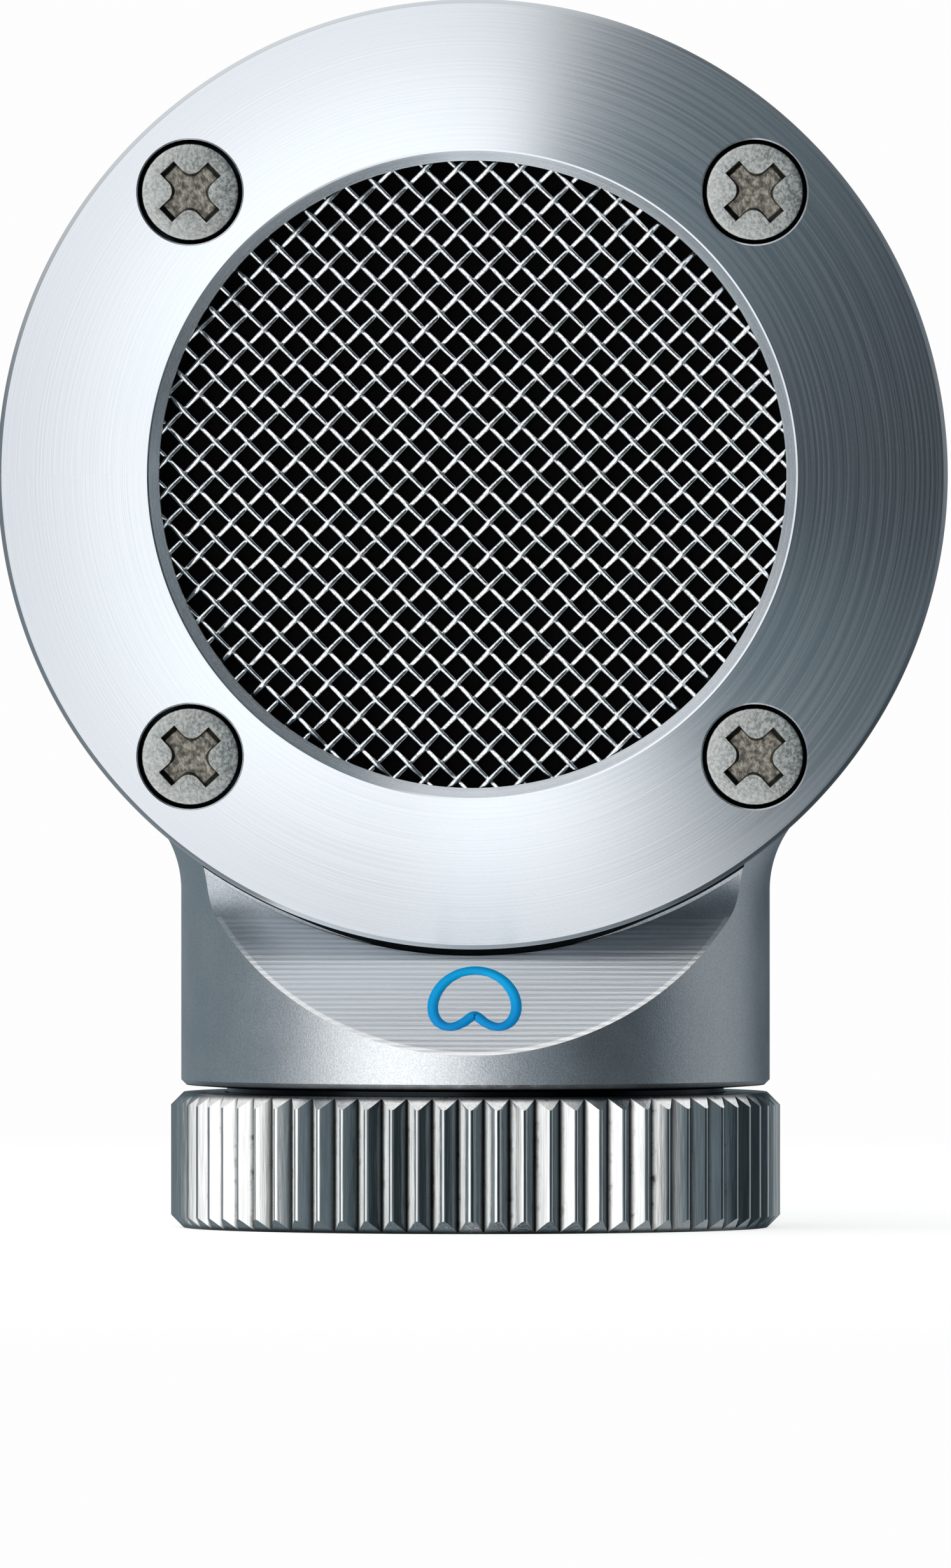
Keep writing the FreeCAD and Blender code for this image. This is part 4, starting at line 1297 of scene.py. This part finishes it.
class CAPSULE_OT_ring(bpy.types.Operator):
    """Build the knurled coupling ring"""

    bl_idname = "capsule.ring"
    bl_label = "Coupling ring"

    def execute(self, context):
        ring = context.scene.capsule_ring
        material = finish_named("polished_nickel")
        blank = as_object("ring_blank", ring_blank())
        mesh = mesh_from_tree(knurl_tree(), {
            "Blank": blank, "Crest Radius": ring.crest_radius, "Height": ring.height,
            "Grooves": ring.grooves, "Groove Depth": ring.groove_depth, "Land": ring.land,
            "Bevel": ring.crest_bevel, "Material": material})
        bpy.data.objects.remove(blank)
        mesh.set_sharp_from_angle(angle=math.radians(KNURL_SHARP_DEGREES))
        place("knurled_ring", mesh, "coupling_ring", "polished_nickel", "ring", material)
        return {"FINISHED"}


class CAPSULE_OT_spigot(bpy.types.Operator):
    """Build the spigot inside the ring"""

    bl_idname = "capsule.spigot"
    bl_label = "Spigot and contact"

    def execute(self, context):
        ring = context.scene.capsule_ring
        collar_top = context.scene.capsule_head.neck_bottom - UNDERSIDE_DROP
        flange_top = SPIGOT_LOW.z + ring.flange_thickness
        seat = INSULATOR_HIGH.x + 0.05 * MM
        spigot = turned("spigot", [
            (seat, SPIGOT_LOW.z),
            (SPIGOT_HIGH.x, SPIGOT_LOW.z),
            (SPIGOT_HIGH.x, flange_top),
            (ring.collar_radius, flange_top),
            (ring.collar_radius, collar_top),
            (ring.screw_radius, collar_top),
            (ring.screw_radius, SPIGOT_HIGH.z),
            (ring.bore_radius, SPIGOT_HIGH.z),
            (ring.bore_radius, INSULATOR_HIGH.z),
            (seat, INSULATOR_HIGH.z),
        ], about_neck)
        place("spigot", spigot, "coupling_spigot", "turned_nickel", "head",
              finish_named("spigot_nickel"))
        return {"FINISHED"}


class CAPSULE_OT_sign(bpy.types.Operator):
    """Print the pick-up pattern on the front facet"""

    bl_idname = "capsule.sign"
    bl_label = "Sign"

    def execute(self, context):
        sizes = context.scene.capsule_sign
        head = context.scene.capsule_head
        material = finish_named("sign_paint")
        mesh = mesh_from_tree(sign_tree(), {
            "Width": sizes.width, "Height": sizes.height, "Stroke": sizes.stroke,
            "Thickness": sizes.thickness, "Material": material})
        lean = head.facet_angle - math.pi / 2
        foot = Vector((0, -head.neck_radius, head.facet_foot))
        up_slope = Vector((0, math.cos(head.facet_angle), math.sin(head.facet_angle)))
        outwards = Vector((0, -math.sin(head.facet_angle), math.cos(head.facet_angle)))
        start = foot + up_slope * (sizes.above_foot + sizes.stroke / 2)
        start += outwards * (0.5 * sizes.thickness + 0.002 * MM)
        start.x = sizes.across
        mesh.transform(Matrix.Translation(start) @ Matrix.Rotation(lean, 4, "X"))
        place("pattern_sign", mesh, None, "blasted_nickel", "head", material)
        return {"FINISHED"}


INNER_FINISHES = {
    "black_gauze": ("front_acoustic_screen", "rear_acoustic_screen"),
    "black_rubber": ("front_grille_gasket", "rear_grille_gasket", "cartridge_gasket"),
    "cartridge_brass": ("cartridge_shell", "cartridge_nut", "diaphragm_ring", "backplate",
                        "rear_port_plate", "stack_lock_ring"),
    "gold_film": ("diaphragm",),
    "white_insulator": ("diaphragm_spacer", "backplate_insulator", "contact_insulator"),
    "damping_cloth": ("damping_disc",),
    "contact_gold": ("backplate_terminal", "centre_contact", "contact_nut"),
    "wire_insulation": ("signal_lead",),
}


class CAPSULE_OT_inner_parts(bpy.types.Operator):
    """Give the inner parts their finishes"""

    bl_idname = "capsule.inner_parts"
    bl_label = "Inner parts"

    def execute(self, context):
        for finish, nodes in INNER_FINISHES.items():
            for node in nodes:
                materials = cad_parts[node].data.materials
                materials.clear()
                materials.append(finish_named(finish))
        return {"FINISHED"}


# Brightness of the studio at eye level, by degrees from the front, the right side positive:
# a wide window at the front left, a dark right side with one pale patch, a dim back.
SURROUND = (
    (-180, 0.16), (-159, 0.26), (-85, 0.26), (-70, 0.32), (-54, 1.26), (-36, 1.66), (-15, 1.50),
    (-1, 0.40), (11, 0.21), (26, 0.20), (40, 0.04), (66, 0.05), (90, 0.42), (118, 0.42),
    (146, 0.08), (164, 0.08), (180, 0.16),
)
SURROUND_PEAK = 2.0
BACKDROP = 0.985


def surround_level(azimuth):
    """Reads the list of brightnesses at an azimuth in degrees."""
    ramp = new_node(azimuth.tree, "ShaderNodeValToRGB", {"Fac": (azimuth + 180.0) / 360.0})
    ramp.color_ramp.interpolation = "EASE"
    stops = ramp.color_ramp.elements
    for degrees, level in SURROUND[1:-1]:
        stops.new((degrees + 180) / 360)
    for stop, (degrees, level) in zip(stops, SURROUND):
        shade = level / SURROUND_PEAK
        stop.color = (shade, shade, shade, 1)
    return Output(ramp.outputs[0]) * SURROUND_PEAK


def studio_world():
    """A soft studio: a wide light at the front left, a pale ceiling and a dark right side."""
    world = bpy.data.worlds.new("studio")
    bpy.context.scene.world = world
    world.use_nodes = True
    tree = world.node_tree
    tree.nodes.clear()
    right, back, up = axes(add(tree, "ShaderNodeTexCoord", output="Generated"))
    azimuth = right.maths("ARCTAN2", back * -1.0).maths("DEGREES")
    height = up.maths("ARCSINE").maths("DEGREES")
    # the window reaches further right above and below eye level
    lean = (height * 0.4).maths("MAXIMUM", height * -1.05)
    right_lean = lean.maths("MINIMUM", 35.0) * smooth_step(azimuth, -45, -10)
    around = surround_level(azimuth - right_lean)
    # a light behind the object, above eye level
    behind = smooth_step(azimuth.maths("ABSOLUTE"), 105, 130)
    rear_light = behind * (smooth_step(height, 18, 30) * smooth_step(height, 62, 50))
    # everything is a little dimmer from far below
    around = (around + rear_light * 0.8) * smooth_step(height, -50, -25, 0.88, 1.0)
    # the pale ceiling comes down further on the left
    overhead = smooth_step(height + right * -40.0, 42, 80)
    level = overhead * 1.15 + around * (1.0 - overhead)
    tint = mixed(smooth_step(level, 0.08, 0.6), (0.62, 0.86, 1.0), (1, 1, 1))
    studio = add(tree, "ShaderNodeBackground", {"Color": tint, "Strength": level})
    backdrop = add(tree, "ShaderNodeBackground", {
        "Color": (BACKDROP, BACKDROP, BACKDROP, 1), "Strength": 1.0})
    seen = add(tree, "ShaderNodeLightPath", output="Is Camera Ray")
    both = add(tree, "ShaderNodeMixShader", {0: seen, 1: studio, 2: backdrop})
    new_node(tree, "ShaderNodeOutputWorld", {"Surface": both})


def floor_material():
    """A pale floor that fades into the backdrop and does not show in the metal."""
    material, shader, position = new_material(
        "floor", (0.42, 0.42, 0.42), 0.0, 1.0, Specular_IOR_Level=0.0,
        Emission_Color=(1, 1, 1, 1), Emission_Strength=0.72)
    radius = bpy.context.scene.capsule_stage.floor_radius
    away = vector_maths("LENGTH", position, output="Value")
    near = smooth_step(away, 0.2 * radius, 0.95 * radius, 1.0, 0.0)
    seen = add(position.tree, "ShaderNodeLightPath", output="Is Camera Ray")
    dress(shader, Alpha=near * seen)
    return material


class CAPSULE_OT_stage(bpy.types.Operator):
    """Set up the floor, the light and the camera"""

    bl_idname = "capsule.stage"
    bl_label = "Stage"

    def execute(self, context):
        scene = context.scene
        stage = scene.capsule_stage
        shape = bmesh.new()
        bmesh.ops.create_circle(shape, cap_ends=True, radius=stage.floor_radius, segments=128)
        floor = as_object("floor", finished(shape, "floor"))
        floor.data.materials.append(floor_material())
        studio_world()
        data = bpy.data.cameras.new("camera")
        data.sensor_width = SENSOR_WIDTH
        data.lens = SENSOR_WIDTH * stage.distance / stage.view_height
        data.clip_start = 0.01
        data.clip_end = 100
        camera = as_object("camera", data)
        aim = Vector((stage.aim_x, 0, stage.aim_z))
        back = Vector((
            math.sin(stage.azimuth) * math.cos(stage.elevation),
            -math.cos(stage.azimuth) * math.cos(stage.elevation),
            math.sin(stage.elevation),
        ))
        camera.location = aim + back * stage.distance
        camera.rotation_euler = (-back).to_track_quat("-Z", "Y").to_euler()
        scene.camera = camera
        scene.view_settings.view_transform = "Standard"
        return {"FINISHED"}


class CAPSULE_PT_panel(bpy.types.Panel):
    """Sizes and steps of the capsule"""

    bl_idname = "CAPSULE_PT_panel"
    bl_label = "Microphone capsule"
    bl_space_type = "VIEW_3D"
    bl_region_type = "UI"
    bl_category = "Capsule"

    def draw(self, context):
        for group in SCENE_GROUPS:
            box = self.layout.box()
            settings = getattr(context.scene, group)
            for name in settings.bl_rna.properties.keys():
                if name not in ("rna_type", "name"):
                    box.prop(settings, name)
        for operator in PIECE_OPERATORS:
            self.layout.operator(operator.bl_idname)


SCENE_GROUPS = {
    "capsule_head": HeadSizes,
    "capsule_mesh": MeshSizes,
    "capsule_screws": ScrewSizes,
    "capsule_ring": RingSizes,
    "capsule_sign": SignSizes,
    "capsule_finishes": Finishes,
    "capsule_stage": StageSizes,
}
PIECE_OPERATORS = (
    CAPSULE_OT_housing,
    CAPSULE_OT_bezels,
    CAPSULE_OT_screws,
    CAPSULE_OT_grilles,
    CAPSULE_OT_ring,
    CAPSULE_OT_spigot,
    CAPSULE_OT_sign,
    CAPSULE_OT_inner_parts,
    CAPSULE_OT_stage,
)


def register():
    for group, made in SCENE_GROUPS.items():
        bpy.utils.register_class(made)
        setattr(bpy.types.Scene, group, bpy.props.PointerProperty(type=made))
    for made in PIECE_OPERATORS + (CAPSULE_PT_panel,):
        bpy.utils.register_class(made)


def unregister():
    for made in (CAPSULE_PT_panel,) + PIECE_OPERATORS:
        bpy.utils.unregister_class(made)
    for group, made in SCENE_GROUPS.items():
        delattr(bpy.types.Scene, group)
        bpy.utils.unregister_class(made)


def main():
    register()
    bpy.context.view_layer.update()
    bpy.ops.capsule.housing()
    bpy.ops.capsule.bezels()
    bpy.ops.capsule.screws()
    bpy.ops.capsule.grilles()
    bpy.ops.capsule.ring()
    bpy.ops.capsule.spigot()
    bpy.ops.capsule.sign()
    bpy.ops.capsule.inner_parts()
    bpy.ops.capsule.stage()


if __name__ == "__main__":
    main()
